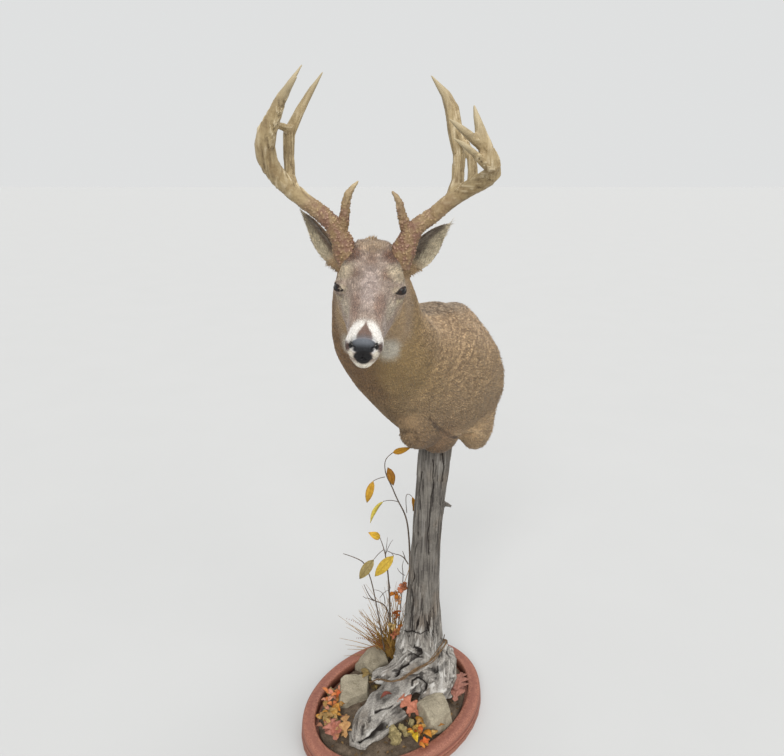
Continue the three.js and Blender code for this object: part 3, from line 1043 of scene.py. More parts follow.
def mottle_group() -> bpy.types.ShaderNodeTree:
    """Builds the shared effect that breaks a colour up with coarse and fine clouds.

    Returns:
        The node group, made once.
    """
    name = "mottle"
    if name in bpy.data.node_groups:
        return bpy.data.node_groups[name]
    group = bpy.data.node_groups.new(name, "ShaderNodeTree")
    for label, kind in (("Vector", "Vector"), ("Color", "Color"), ("Dark", "Color"), ("Size", "Float")):
        group.interface.new_socket(label, in_out="INPUT", socket_type=f"NodeSocket{kind}")
    group.interface.new_socket("Color", in_out="OUTPUT", socket_type="NodeSocketColor")
    group.interface.new_socket("Height", in_out="OUTPUT", socket_type="NodeSocketFloat")
    nodes = Nodes(group)
    given = nodes.add("NodeGroupInput").outputs
    clouds = []
    for gain, detail in ((1.0, 3.0), (6.0, 2.0)):
        cloud = nodes.add("ShaderNodeTexNoise")
        nodes.feed(cloud.inputs["Vector"], given["Vector"])
        nodes.feed(cloud.inputs["Scale"], nodes.math("DIVIDE", gain, given["Size"]))
        cloud.inputs["Detail"].default_value = detail
        clouds.append(cloud.outputs["Fac"])
    coarse = nodes.levels(clouds[0], 0.36, 0.66)
    fine = nodes.levels(clouds[1], 0.4, 0.7)
    amount = nodes.math("ADD", nodes.math("MULTIPLY", coarse, 0.6), nodes.math("MULTIPLY", fine, 0.4))
    out = nodes.add("NodeGroupOutput").inputs
    nodes.feed(out["Color"], nodes.mix(amount, given["Color"], given["Dark"]))
    nodes.feed(out["Height"], amount)
    return group


@dataclass(frozen=True)
class Finish:
    """A finish: its colours, gloss and relief."""

    name: str
    roughness: float = 0.8
    specular: float = 0.3
    sheen: float = 0.0

    def start(self) -> tuple[bpy.types.Material, Nodes, bpy.types.Node]:
        """Makes the material with its shader.

        Returns:
            The material, its nodes and the shader.
        """
        material = bpy.data.materials.new(self.name)
        material.use_nodes = True
        material.node_tree.nodes.clear()
        nodes = Nodes(material.node_tree)
        shader = nodes.add("ShaderNodeBsdfPrincipled")
        output = nodes.add("ShaderNodeOutputMaterial")
        nodes.feed(output.inputs["Surface"], shader.outputs["BSDF"])
        shader.inputs["Roughness"].default_value = self.roughness
        shader.inputs["Specular IOR Level"].default_value = self.specular
        shader.inputs["Sheen Weight"].default_value = self.sheen
        return material, nodes, shader

    @staticmethod
    def mottled(
        nodes: Nodes, colour: object, dark: object, size: float
    ) -> tuple[bpy.types.NodeSocket, bpy.types.NodeSocket]:
        """A colour broken up by the shared clouds.

        Args:
            nodes: The material being wired.
            colour: The main colour.
            dark: The colour of the darker clouds.
            size: Size of the clouds in metres.

        Returns:
            The colour and a height that follows it.
        """
        group = nodes.add("ShaderNodeGroup", node_tree=mottle_group())
        nodes.feed(group.inputs["Vector"], nodes.place())
        nodes.feed(group.inputs["Color"], colour)
        nodes.feed(group.inputs["Dark"], dark)
        group.inputs["Size"].default_value = size
        return group.outputs["Color"], group.outputs["Height"]


@dataclass(frozen=True)
class HideFinish(Finish):
    """Skin under the coat, with bare glossy hide at the nose, lips and lids, its pebbles lightened by a
    painted highlight.
    """

    shade: Colour = (0.62, 0.58, 0.55, 1)
    pebble_highlight: Colour = (2.3, 2.3, 2.4, 1)
    pebble: float = 520

    def build(self) -> bpy.types.Material:
        """Wires the material.

        Returns:
            The material.
        """
        material, nodes, shader = self.start()
        tint = nodes.attribute("tint")
        dark = nodes.tinted(tint, self.shade)
        colour, _ = self.mottled(nodes, tint, dark, 0.006)
        bare = nodes.attribute("bare", "Fac")
        pebbles = nodes.add("ShaderNodeTexVoronoi", feature="DISTANCE_TO_EDGE")
        nodes.feed(pebbles.inputs["Vector"], nodes.place())
        pebbles.inputs["Scale"].default_value = self.pebble
        grain = nodes.levels(pebbles.outputs["Distance"], 0.0, 0.22)
        # Painted highlight: the pebbles of the bare hide are lightened as if catching the light.
        lit = nodes.tinted(tint, self.pebble_highlight)
        hide = nodes.mix(nodes.math("MULTIPLY", grain, 0.6), tint, lit)
        nodes.feed(shader.inputs["Base Color"], nodes.mix(bare, colour, hide))
        nodes.feed(shader.inputs["Roughness"], nodes.levels(bare, 0, 1, (0.85, 0.42)))
        hair = nodes.noise(0.0016, detail=4.0, rough=0.7)
        height = nodes.mix(bare, hair, grain)
        nodes.feed(shader.inputs["Normal"], nodes.bump(height, 0.0006))
        return material


@dataclass(frozen=True)
class FurFinish(Finish):
    """Hair in the coat's own markings, with short wavy bands where dark and pale tips show."""

    under: Colour = (0.42, 0.36, 0.34, 1)
    over: Colour = (1.66, 1.64, 1.6, 1)
    shade: Colour = (0.6, 0.56, 0.52, 1)

    def build(self) -> bpy.types.Material:
        """Wires the material.

        Returns:
            The material.
        """
        material, nodes, shader = self.start()
        tint = nodes.attribute("tint")
        across = nodes.place((0.2, 0.2, 1), (-32, -6, 0))
        band = nodes.noise(0.0036, across, detail=2.0, rough=0.5, bend=0.9)
        fine = nodes.noise(0.0011, detail=2.0)
        grizzle = nodes.attribute("grizzle", "Fac")
        dark = nodes.math("MULTIPLY", nodes.levels(band, 0.52, 0.38), grizzle)
        pale = nodes.math("MULTIPLY", nodes.levels(band, 0.5, 0.62), grizzle)
        colour = nodes.mix(nodes.math("MULTIPLY", dark, 0.56), tint, nodes.tinted(tint, self.under))
        colour = nodes.mix(nodes.math("MULTIPLY", pale, 0.42), colour, nodes.tinted(tint, self.over))
        streak = nodes.levels(fine, 0.35, 0.7, (0.0, 0.28))
        nodes.feed(shader.inputs["Base Color"], nodes.mix(streak, colour, self.shade, "MULTIPLY"))
        rough = nodes.levels(nodes.noise(0.004), 0.3, 0.7, (self.roughness - 0.08, self.roughness + 0.1))
        nodes.feed(shader.inputs["Roughness"], rough)
        return material


# ---------------------------------------------------------------- skin

FLESH = ("head", "neck", "shoulders", "ear_left", "ear_right")
EYEBALLS = ("eye_left", "eye_right")
SOCKETS = (Socket(1), Socket(-1))


@dataclass
class Skin:
    """The hide over head, ears, neck and shoulders: one closed skin with lids, nostrils and folds."""

    voxel: float = 2.4
    grow: float = 0.45
    fillet: float = 14
    even_rounds: int = 22
    neck_rounds: int = 260
    thinned: int = 165000
    refined: tuple[tuple[float, float], ...] = ((118, 2.6), (26, 1.5))
    under_hair: float = 0.72
    lid: str = "1c1512"
    pedicle: float = 27.0
    pedicle_at: tuple[float, float] = (-0.222, 1.388)
    pushes: tuple[Push, ...] = (
        Push((42, -80, -36), (26, 42, 26), -3.5),
        Push((50, -44, -22), (14, 42, 10), 2.5),
        Push((58, 12, -62), (22, 42, 40), 4.0),
        Push((0, -120, 2), (13, 70, 14), 1.5),
        Push((24, -132, -8), (10, 46, 14), -2.0),
        Push((30, -178, -50), (18, 26, 20), 3.5),
        Push((36, -138, -52), (16, 22, 24), -2.5),
        Push((0, -210, -40), (24, 14, 18), 2.5),
        Push((19, -209, -46), (6.5, 11, 5.5), -8.0),
        Push((25, -202, -42), (6, 9, 4), -4.5),
        Push((23, -204, -33), (9, 9, 6), 2.2),
        Push((0, -204, -86), (27, 24, 15), 6.5),
        Push((30, 62, 74), (22, 34, 22), 4.0),
        Push((0, -26, 36), (10, 40, 16), -2.0),
        Push((58, 4, 34), (22, 18, 12), 2.5),
        Push((66, 40, 22), (20, 22, 20), -3.0),
    )
    creases: tuple[Crease, ...] = (
        Crease(((0, -214, -56), (0, -213, -66)), 1.8, 2.2),
        Crease(
            ((0, -212, -67), (14, -206, -69), (30, -188, -70), (40, -150, -70), (46, -112, -64)),
            2.6, 3.2,
        ),
        Crease(((53, -30, 0), (48, -44, -8), (44, -54, -13)), 2.4, 1.6),
        Crease(MARKINGS.folds[0], 5, 5, False),
        Crease(MARKINGS.folds[1], 6, 4, False),
        Crease(MARKINGS.crest, 6, -3, False),
        Crease(((91, 35, 1223), (112, -70, 1150), (92, -112, 1090), (50, -116, 1033)), 26, 4.5, False),
        Crease(((175, 20, 1165), (167, -17, 1137), (144, -70, 1095), (125, -82, 1037)), 8, 1.0, False),
        Crease(((205, -20, 1054), (225, 0, 1049), (244, 15, 1043)), 3.5, 2, False),
    )

    def build(self) -> bpy.types.Object:
        """Builds the skin and paints the coat's markings on it.

        Returns:
            The finished skin.
        """
        piece = swollen_copies("skin", FLESH + EYEBALLS, self.grow * MM)
        add_fillets(piece, ("shoulders", "neck"), self.fillet * MM, 4 * MM)
        self._raise_pedicles(piece)
        remesh(piece, self.voxel * MM)
        rows = vertices_of(piece.data)
        ears = ear_mask(rows)
        relax(piece.data, 0.5 - 0.42 * ears, self.even_rounds)
        smooth_form(piece.data, 0.5 * ramp(90, 150, HEAD.inside(rows)[:, 1]), self.neck_rounds)
        self._thin(piece)
        for reach, longest in self.refined:
            self._refine(piece, reach, longest)
        self._shape(piece)
        self._paint(piece)
        return finish_piece(piece, HideFinish("hide").build(), FLESH)

    def _raise_pedicles(self, piece: bpy.types.Object) -> None:
        """Adds the bony mounds that the antlers stand on.

        Args:
            piece: The joined shape, before it is remeshed.
        """
        shape = bmesh.new()
        shape.from_mesh(piece.data)
        for side in ("right", "left"):
            low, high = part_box(f"antler_{side}_beam_lower")
            inner, outward = (high.x, -1) if side == "right" else (low.x, 1)
            at = Vector((inner + outward * self.pedicle * MM, *self.pedicle_at))
            bmesh.ops.create_icosphere(
                shape, subdivisions=3, radius=self.pedicle * MM, matrix=Matrix.Translation(at)
            )
        shape.to_mesh(piece.data)
        shape.free()

    def _thin(self, piece: bpy.types.Object) -> None:
        """Spends fewer faces on the trunk and keeps them on head and ears.

        Args:
            piece: The skin.
        """
        rows = vertices_of(piece.data)
        head = HEAD.inside(rows)
        plain = ramp(60, 110, head[:, 1]) * (1 - ear_mask(rows))
        group = piece.vertex_groups.new(name="plain")
        for step in range(5):
            chosen = np.flatnonzero(np.round(plain * 4) == step)
            group.add(chosen.tolist(), step / 4, "REPLACE")
        change = piece.modifiers.new("thin", "DECIMATE")
        change.ratio = min(1.0, self.thinned / (2 * len(piece.data.polygons)))
        change.vertex_group = "plain"
        change.vertex_group_factor = 4.0
        apply_modifiers(piece)

    def _focus(self, head: np.ndarray) -> np.ndarray:
        """Distance from the nearest eye or the nose, in millimetres.

        Args:
            head: Head points in millimetres.

        Returns:
            One distance for each point.
        """
        to_eye = np.linalg.norm(mirrored(head) - np.array([60, -16, 4]), axis=1)
        to_nose = np.linalg.norm(head - np.array([0, -205, -52]), axis=1) - 12
        return np.minimum(to_eye, to_nose)

    def _refine(self, piece: bpy.types.Object, reach: float, longest: float) -> None:
        """Splits long edges round the eyes and the nose.

        Args:
            piece: The skin.
            reach: How far from them, in millimetres.
            longest: Edges above this length are split, in millimetres.
        """
        shape = bmesh.new()
        shape.from_mesh(piece.data)
        near = self._focus(HEAD.inside(vertices_of(piece.data))) < reach
        edges = [
            edge
            for edge in shape.edges
            if near[edge.verts[0].index] and near[edge.verts[1].index] and edge.calc_length() > longest * MM
        ]
        bmesh.ops.subdivide_edges(shape, edges=edges, cuts=1)
        bmesh.ops.triangulate(shape, faces=[face for face in shape.faces if len(face.verts) > 3])
        for face in shape.faces:
            face.smooth = True
        shape.to_mesh(piece.data)
        shape.free()

    def coat_depth(self, rows: np.ndarray, head: np.ndarray) -> np.ndarray:
        """How far the skin lies under the tips of the coat, in millimetres.

        Args:
            rows: Points in metres.
            head: The same points in the head's frame.

        Returns:
            One depth for each point.
        """
        share, _, _ = SPINE.locate(rows)
        ears = ear_mask(rows)
        depth = 2.0 + 2.0 * ramp(10, 110, head[:, 1]) * ramp(-60, -150, head[:, 2])
        depth = np.maximum(depth, 2.0 + 2.0 * ramp(95, 150, head[:, 1]))
        depth *= ramp(-222, -150, head[:, 1]) * 0.8 + 0.2
        depth = depth * (1 - ears) + 0.7 * ears
        return np.where(share > 0.93, depth * (1 - 0.75 * ramp(0.95, 1.0, share)), depth)

    def _shape(self, piece: bpy.types.Object) -> None:
        """Moves the skin in by the coat's depth and works the face's forms into it.

        Args:
            piece: The skin.
        """
        mesh = piece.data
        rows = vertices_of(mesh)
        head = HEAD.inside(rows)
        lift = -self.coat_depth(rows, head)
        for push in self.pushes:
            lift += push.amount(head)
        for crease in self.creases:
            lift += crease.amount(head, rows)
        lift += 1.2 * noise(rows, 0.05, 21) * ramp(60, 140, head[:, 1])
        raise_surface(mesh, lift)
        for socket in SOCKETS:
            self._lids(mesh, socket)

    def _lids(self, mesh: bpy.types.Mesh, socket: Socket) -> None:
        """Lays the lids over one eyeball and opens the almond between them.

        Args:
            mesh: The skin's mesh.
            socket: The eye's place.
        """
        rows = vertices_of(mesh)
        head = HEAD.inside(rows)
        side, up, far = socket.angles(head)
        edge = socket.past_lid(head)
        turn = np.degrees(np.arccos(np.clip(np.cos(np.radians(side)) * np.cos(np.radians(up)), -1, 1)))
        near = ramp(96, 66, turn) * (far < 34)
        lid = socket.radius + 0.7 + 1.3 * np.exp(-((edge - 1.2) ** 2) / 5) + 0.09 * np.maximum(edge, 0)
        lid -= 1.1 * np.exp(-((edge - 7.5) ** 2) / 3) * ramp(-5, 10, up)
        target = lid + (socket.radius - 4 - lid) * ramp(0.25, -1.0, edge)
        reach = far + (target - far) * near
        centre = socket.centre()
        moved = centre + (head - centre) * (reach / np.maximum(far, 1e-6))[:, None]
        chosen = near > 0
        rows[chosen] = HEAD.world(moved[chosen])
        move_vertices(mesh, rows)

    def _paint(self, piece: bpy.types.Object) -> None:
        """Stores the markings and the bare places.

        Args:
            piece: The skin.
        """
        mesh = piece.data
        rows = vertices_of(mesh)
        head = HEAD.inside(rows)
        tint = MARKINGS.colour_at(rows, normals_of(mesh)) * self.under_hair
        bare = bare_mask(head)
        rim = lid_mask(head)
        tint += rim[:, None] * (np.array(rgb(self.lid)[:3]) - tint)
        paint(mesh, "tint", tint)
        paint(mesh, "bare", np.clip(bare + 0.7 * rim, 0, 1))


def bare_mask(head: np.ndarray) -> np.ndarray:
    """1 on the nose pad and the black of the mouth, where no hair grows.

    Args:
        head: Head points in millimetres.

    Returns:
        One share for each point.
    """
    pad = 1 - ramp(0.9, 1.04, ((np.abs(head - (1, -213, -40)) / (26.5, 17, 14.5)) ** 2.6).sum(axis=1))
    mouth = 1 - ramp(0.8, 1.05, np.linalg.norm((head - (1, -214, -64)) / (17, 13, 14.5), axis=1))
    return np.maximum(pad, mouth)


def lid_mask(head: np.ndarray) -> np.ndarray:
    """1 on the lids' dark edges.

    Args:
        head: Head points in millimetres.

    Returns:
        One share for each point.
    """
    total = np.zeros(len(head))
    for socket in SOCKETS:
        _, _, far = socket.angles(head)
        edge = socket.past_lid(head)
        total = np.maximum(total, ramp(3.0, 1.6, edge) * (far < 26) * (head[:, 0] * socket.sign > 0))
    return total


# ---------------------------------------------------------------- coat

# The foot of each antler's beam: x, y, z and radius in world millimetres.
ANTLER_ROOTS = {
    "right": ((-96, -225, 1376, 25), (-109, -232, 1423, 22), (-132, -233, 1466, 17)),
    "left": ((6, -225, 1374, 25), (23, -232, 1423, 22), (46, -233, 1458, 17)),
}


class Region(Enum):
    """The coat's pieces."""

    FACE_RIGHT = "face_right"
    FACE_LEFT = "face_left"
    CROWN = "crown"
    NECK_RIGHT = "neck_right"
    NECK_LEFT = "neck_left"
    SHOULDER_RIGHT = "shoulder_right"
    SHOULDER_LEFT = "shoulder_left"
    CHEST_RIGHT = "chest_right"
    CHEST_LEFT = "chest_left"
    EAR_RIGHT = "ear_right"
    EAR_LEFT = "ear_left"


@dataclass
class Tufts:
    """Roots of the coat's tufts and what each grows like. Lengths are in millimetres."""

    root: np.ndarray
    normal: np.ndarray
    flow: np.ndarray
    length: np.ndarray
    width: np.ndarray
    lift: np.ndarray
    tint: np.ndarray
    unwrap: np.ndarray


@dataclass
class Coat:
    """The hair over the skin: thin closed tufts that overlap and lie along the body.

    The spacing is in millimetres for each kind of region, and the densities are the roots that are
    scattered on a square metre before they are thinned to that spacing.
    """

    skin: bpy.types.Object
    seed: int = 11
    spacing: tuple[tuple[str, float], ...] = (
        ("face", 2.0), ("crown", 2.1), ("neck", 2.9), ("shoulder", 2.9), ("chest", 3.0), ("ear", 2.2),
    )
    face_density: float = 1.3e6
    body_density: float = 0.45e6
    ear_density: float = 1.0e6
    shoulder_from: float = 0.46
    chest_below: float = 0.15
    patch: float = 0.003
    stray: float = 1.3
    ring_at: float = 0.45
    ring_wide: float = 0.9
    post_middle: tuple[float, float] = (0.117, 0.093)
    post_reach: float = 0.0535
    post_top: float = 0.92

    def build(self) -> list[bpy.types.Object]:
        """Grows every region's coat.

        Returns:
            One piece for each region.
        """
        chance = np.random.default_rng(self.seed)
        roots, normals = self._scatter(chance)
        region = self._regions(roots)
        material = FurFinish("coat_hair", roughness=0.62, specular=0.25, sheen=0.1).build()
        pieces = []
        spacing = dict(self.spacing)
        for number, kind in enumerate(Region):
            chosen = region == number
            part, facing = roots[chosen], normals[chosen]
            kept = self._spread(part, spacing[kind.value.split("_")[0]] * MM, chance)
            tufts = self._dress(part[kept], facing[kept], kind, chance)
            pieces.append(self._piece(kind, tufts, material))
        return pieces

    def _scatter(self, chance: np.random.Generator) -> tuple[np.ndarray, np.ndarray]:
        """Random places over the skin with the skin's normals there.

        Args:
            chance: Source of the places.

        Returns:
            The places in metres, and the normals.
        """
        mesh = self.skin.data
        rows, facing = vertices_of(mesh), normals_of(mesh)
        mesh.calc_loop_triangles()
        corners = np.empty(len(mesh.loop_triangles) * 3, np.int32)
        mesh.loop_triangles.foreach_get("vertices", corners)
        corners = corners.reshape(-1, 3)
        a, b, c = (rows[corners[:, k]] for k in range(3))
        area = np.linalg.norm(np.cross(b - a, c - a), axis=1) / 2
        head = HEAD.inside(a)
        dense = np.where(head[:, 1] < 60, self.face_density, self.body_density)
        dense = np.where(ear_mask(a) > 0.2, self.ear_density, dense)
        wanted = chance.poisson(area * dense)
        index = np.repeat(np.arange(len(corners)), wanted)
        u, v = chance.random((2, len(index)))
        flip = u + v > 1
        u[flip], v[flip] = 1 - u[flip], 1 - v[flip]
        weights = np.stack([1 - u - v, u, v], axis=1)
        at = np.einsum("nk,nkd->nd", weights, rows[corners[index]])
        normal = unit(np.einsum("nk,nkd->nd", weights, facing[corners[index]]))
        keep = self._hairy(at, normal)
        return at[keep], normal[keep]

    def _hairy(self, points: np.ndarray, normals: np.ndarray) -> np.ndarray:
        """Where hair grows: not on bare hide, in the eyes, at the antlers, the post or the cut.

        Args:
            points: Rows in metres.
            normals: The skin's normals there.

        Returns:
            True for each point where hair grows.
        """
        head = HEAD.inside(points)
        share, _, tail = SPINE.locate(points)
        grows = bare_mask(head) < 0.4
        for socket in SOCKETS:
            _, _, far = socket.angles(head)
            grows &= (socket.past_lid(head) > 1.6) | (far > 26) | (head[:, 0] * socket.sign < 0)
        for side in ("right", "left"):
            line = ANTLER_ROOTS[side]
            grows &= near_path(points / MM, [row[:3] for row in line]) > line[0][3] - 2.5
        from_post = np.hypot(points[:, 0] - self.post_middle[0], points[:, 1] - self.post_middle[1])
        grows &= (from_post > self.post_reach) | (points[:, 2] > self.post_top)
        return grows & ~((share > 0.975) & ((normals * tail).sum(axis=1) > 0.75))

    def _regions(self, points: np.ndarray) -> np.ndarray:
        """Each point's region, as its place in the list of regions.

        Args:
            points: Rows in metres.

        Returns:
            One number for each point.
        """
        head = HEAD.inside(points)
        share, angle, _ = SPINE.locate(points)
        number = {kind: at for at, kind in enumerate(Region)}
        on_neck = share < self.shoulder_from
        region = np.where(on_neck, number[Region.NECK_RIGHT], number[Region.SHOULDER_RIGHT])
        on_chest = ~on_neck & (np.cos(angle) < self.chest_below)
        region = np.where(on_chest, number[Region.CHEST_RIGHT], region)
        region = region + np.where(angle < 0, 1, 0)
        crown = (head[:, 1] > 5) & (head[:, 1] < 118) & (head[:, 2] > 26)
        face = (head[:, 1] < 52 - 0.35 * np.clip(-60 - head[:, 2], 0, 90)) & ~crown
        side = np.where(head[:, 0] > 0, number[Region.FACE_LEFT], number[Region.FACE_RIGHT])
        region = np.where(face, side, region)
        region = np.where(crown, number[Region.CROWN], region)
        for ear, kind in zip(EARS, (Region.EAR_RIGHT, Region.EAR_LEFT), strict=True):
            region = np.where(ear.mask(points) > 0.4, number[kind], region)
        return region

    @staticmethod
    def _spread(points: np.ndarray, spacing: float, chance: np.random.Generator) -> np.ndarray:
        """Chooses points so that about one is left in each cell of a grid.

        Args:
            points: Rows in metres.
            spacing: Size of a cell in metres.
            chance: Source of the order in which points are taken.

        Returns:
            The places in the rows of the points that are kept.
        """
        order = chance.permutation(len(points))
        cell = np.floor(points[order] / spacing).astype(np.int64)
        _, first = np.unique(grid_key(cell), return_index=True)
        return order[first]

    def _dress(
        self, root: np.ndarray, normal: np.ndarray, kind: Region, chance: np.random.Generator
    ) -> Tufts:
        """Works out how the tuft at each root grows.

        Args:
            root: Places on the skin.
            normal: The skin's normals there.
            kind: The region that they are in.
            chance: Source of the small differences between tufts.

        Returns:
            The region's tufts.
        """
        head = HEAD.inside(root)
        share, angle, tail = SPINE.locate(root)
        count = len(root)
        if kind in (Region.EAR_RIGHT, Region.EAR_LEFT):
            ear = EARS[0] if kind is Region.EAR_RIGHT else EARS[1]
            flow, length, width, lift, unwrap = self._ear_growth(ear, root, normal)
        else:
            flow, length, width, lift = self._growth(head, share, tail)
            around, along = angle, (share + 0.2) / 1.4
            if kind in (Region.FACE_LEFT, Region.FACE_RIGHT, Region.CROWN):
                around, along = np.arctan2(head[:, 0], head[:, 2] + 30), (head[:, 1] + 220) / 380
            unwrap = np.stack([around / (2 * math.pi) + 0.5, along], axis=1)
        wave = np.stack([noise(root, 0.022, k) for k in (31, 32, 33)], axis=1)
        fine = chance.normal(size=(count, 3))
        flow = flow + 0.22 * wave + 0.13 * fine
        flow = unit(flow - (flow * normal).sum(axis=1)[:, None] * normal)
        length = length * (1 + 0.22 * chance.normal(size=count)).clip(0.5, 1.5)
        width = width * (1 + 0.2 * chance.normal(size=count)).clip(0.6, 1.5)
        lift = lift * (1 + 0.4 * wave[:, 0]) + 0.03 * chance.normal(size=count)
        on_face = ramp(60, 20, head[:, 1]) * ramp(-205, -190, head[:, 1])
        reach = self.stray * (0.5 + on_face) * MM
        tint = MARKINGS.colour_at(root + reach[:, None] * chance.normal(size=(count, 3)), normal)
        shade = 1 + (0.13 + 0.1 * on_face) * chance.normal(size=count)
        shade += (0.08 + 0.08 * on_face) * noise(root, 0.006, 35)
        tint = tint * shade.clip(0.45, 1.7)[:, None]
        return Tufts(root, normal, flow, length, width, lift.clip(0.03, 1.2), tint, unwrap)

    @staticmethod
    def _growth(head: np.ndarray, share: np.ndarray, tail: np.ndarray) -> tuple[np.ndarray, ...]:
        """Lie, length, width and lift of the hair on head and body.

        Args:
            head: The roots in the head's frame.
            share: The share of the way along the body at each.
            tail: The tail-ward direction at each.

        Returns:
            The four, one of each for each root, lengths and widths in millimetres.
        """
        back = HEAD.turn([0, 1, 0]) + np.zeros_like(head)
        side = HEAD.turn([1, 0, 0]) * np.sign(head[:, :1])
        cheek = ramp(20, 50, np.abs(head[:, 0]))[:, None]
        on_face = back + cheek * (0.25 * side - 0.35 * HEAD.turn([0, 0, 1]))
        on_body = tail + np.array([0, 0, -0.45])
        body = ramp(40, 125, head[:, 1])
        flow = on_face * (1 - body[:, None]) + on_body * body[:, None]
        muzzle = ramp(-120, -190, head[:, 1])
        length = 7 - 3.4 * muzzle + 6.5 * body + 2 * ramp(0.4, 1.0, share) * body
        width = 0.6 - 0.2 * muzzle + 0.32 * body
        lift = 0.12 + 0.02 * body
        crown = ramp(-5, 45, head[:, 1]) * ramp(22, 50, head[:, 2]) * ramp(125, 95, head[:, 1])
        length = length + 3.5 * crown * (1 - body)
        lift = lift + 0.1 * crown
        forelock = ramp(56, 76, head[:, 1]) * ramp(70, 80, head[:, 2]) * ramp(16, 6, np.abs(head[:, 0] + 4))
        near_ear = ramp(58, 34, np.linalg.norm(mirrored(head) - np.array([66, 80, 12]), axis=1))
        outward = 0.8 * side + HEAD.turn([0, -0.5, 0.2])
        flow = flow * (1 - 0.6 * near_ear[:, None]) + 0.5 * near_ear[:, None] * outward
        length = (length + 5 * forelock) * (1 - 0.35 * near_ear)
        return flow, length, width, (lift + 0.4 * forelock) * (1 - 0.4 * near_ear)

    @staticmethod
    def _ear_growth(ear: Ear, root: np.ndarray, normal: np.ndarray) -> tuple[np.ndarray, ...]:
        """Lie, length, width, lift and unwrap of the hair on an ear.

        Args:
            ear: The ear.
            root: Places on its skin.
            normal: The skin's normals there.

        Returns:
            The five, one of each for each root.
        """
        share, far, _ = ear.place(root)
        start = HEAD.world(ear.root)
        axis = unit(np.array(ear.tip) * MM - start)
        face = unit(np.array(ear.open, float))
        across = np.cross(face, axis)
        cup = ear.inner(root, normal)
        sideways = ((root - start) @ across) / MM
        flow = axis + 0.5 * cup[:, None] * across * np.sign(-sideways)[:, None]
        rim = ramp(22, 34, far)
        length = 6 + 7 * cup + 1.5 * rim
        width = np.full(len(root), 0.5)
        lift = 0.1 + 0.16 * cup
        unwrap = np.stack([0.25 + sideways / 200 + 0.5 * cup, share / 1.3 + 0.05], axis=1)
        return flow, length, width, lift, unwrap

    def _piece(self, kind: Region, tufts: Tufts, material: bpy.types.Material) -> bpy.types.Object:
        """Builds one region's tufts as a single mesh.

        Args:
            kind: The region.
            tufts: Its tufts.
            material: The hair's material.

        Returns:
            The finished piece.
        """
        rows, shade, drift = self._blades(tufts)
        count, size = rows.shape[:2]
        faces = [(0, 2, 1), (0, 3, 2), (0, 1, 3), (1, 2, 4), (2, 3, 4), (3, 1, 4)]
        index = (np.array(faces)[None] + size * np.arange(count)[:, None, None]).reshape(-1, 3)
        mesh = bpy.data.meshes.new(f"coat_{kind.value}")
        fill_mesh(mesh, rows.reshape(-1, 3), index)
        paint(mesh, "tint", (tufts.tint[:, None] * shade[..., None]).reshape(-1, 3).clip(0, 1))
        paint(mesh, "grizzle", MARKINGS.grizzle_at(rows.reshape(-1, 3)))
        layer = mesh.uv_layers.new(name="OFBake")
        place = tufts.unwrap[:, None] * 0.98 + 0.01 + drift * self.patch
        layer.data.foreach_set("uv", place.reshape(-1, 2)[index.ravel()].astype(np.float32).ravel())
        piece = new_object(mesh.name, mesh)
        return finish_piece(piece, material)

    def _blades(self, tufts: Tufts) -> tuple[np.ndarray, np.ndarray, np.ndarray]:
        """The five points of every tuft: its root, a ring of three and its tip.

        Args:
            tufts: The tufts.

        Returns:
            The points, the shade at each, and each one's place inside the tuft's patch.
        """
        count = len(tufts.root)
        rows = np.empty((count, 5, 3))
        shade = np.empty((count, 5))
        drift = np.zeros((count, 5, 2))
        along, wide = self.ring_at, self.ring_wide
        across = np.cross(tufts.normal, tufts.flow)
        length, width = tufts.length[:, None] * MM, tufts.width[:, None] * MM
        rise = tufts.lift[:, None]
        rows[:, 0] = tufts.root - tufts.normal * 0.8 * MM
        middle = tufts.root + length * (
            along * tufts.flow + (rise * along * (1.25 - 0.55 * along)) * tufts.normal
        )
        for k, (x, z) in enumerate(((-1, -0.2), (1, -0.2), (0, 0.75))):
            rows[:, 1 + k] = middle + width * wide * (x * across + z * tufts.normal)
            drift[:, 1 + k] = (0.4 * x, along - 0.5)
        rows[:, 4] = tufts.root + length * (tufts.flow + 0.7 * rise * tufts.normal)
        shade[:, 0] = 0.5
        shade[:, 1:4] = 0.78 + 0.34 * along
        shade[:, 4] = 0.62 + 0.5 * (np.arange(count) * 0.618 % 1)
        drift[:, 0, 1] = -0.5
        drift[:, 4, 1] = 0.5
        return rows, shade, drift


def fill_mesh(mesh: bpy.types.Mesh, rows: np.ndarray, index: np.ndarray) -> None:
    """Fills an empty mesh with many small triangles.

    Args:
        mesh: The mesh.
        rows: Its vertices.
        index: Three vertices for each face.
    """
    mesh.vertices.add(len(rows))
    mesh.vertices.foreach_set("co", rows.astype(np.float32).ravel())
    mesh.loops.add(index.size)
    mesh.loops.foreach_set("vertex_index", index.astype(np.int32).ravel())
    mesh.polygons.add(len(index))
    mesh.polygons.foreach_set("loop_start", np.arange(0, index.size, 3, dtype=np.int32))
    mesh.polygons.foreach_set("use_smooth", np.ones(len(index), bool))
    mesh.update(calc_edges=True)


# ---------------------------------------------------------------- grain


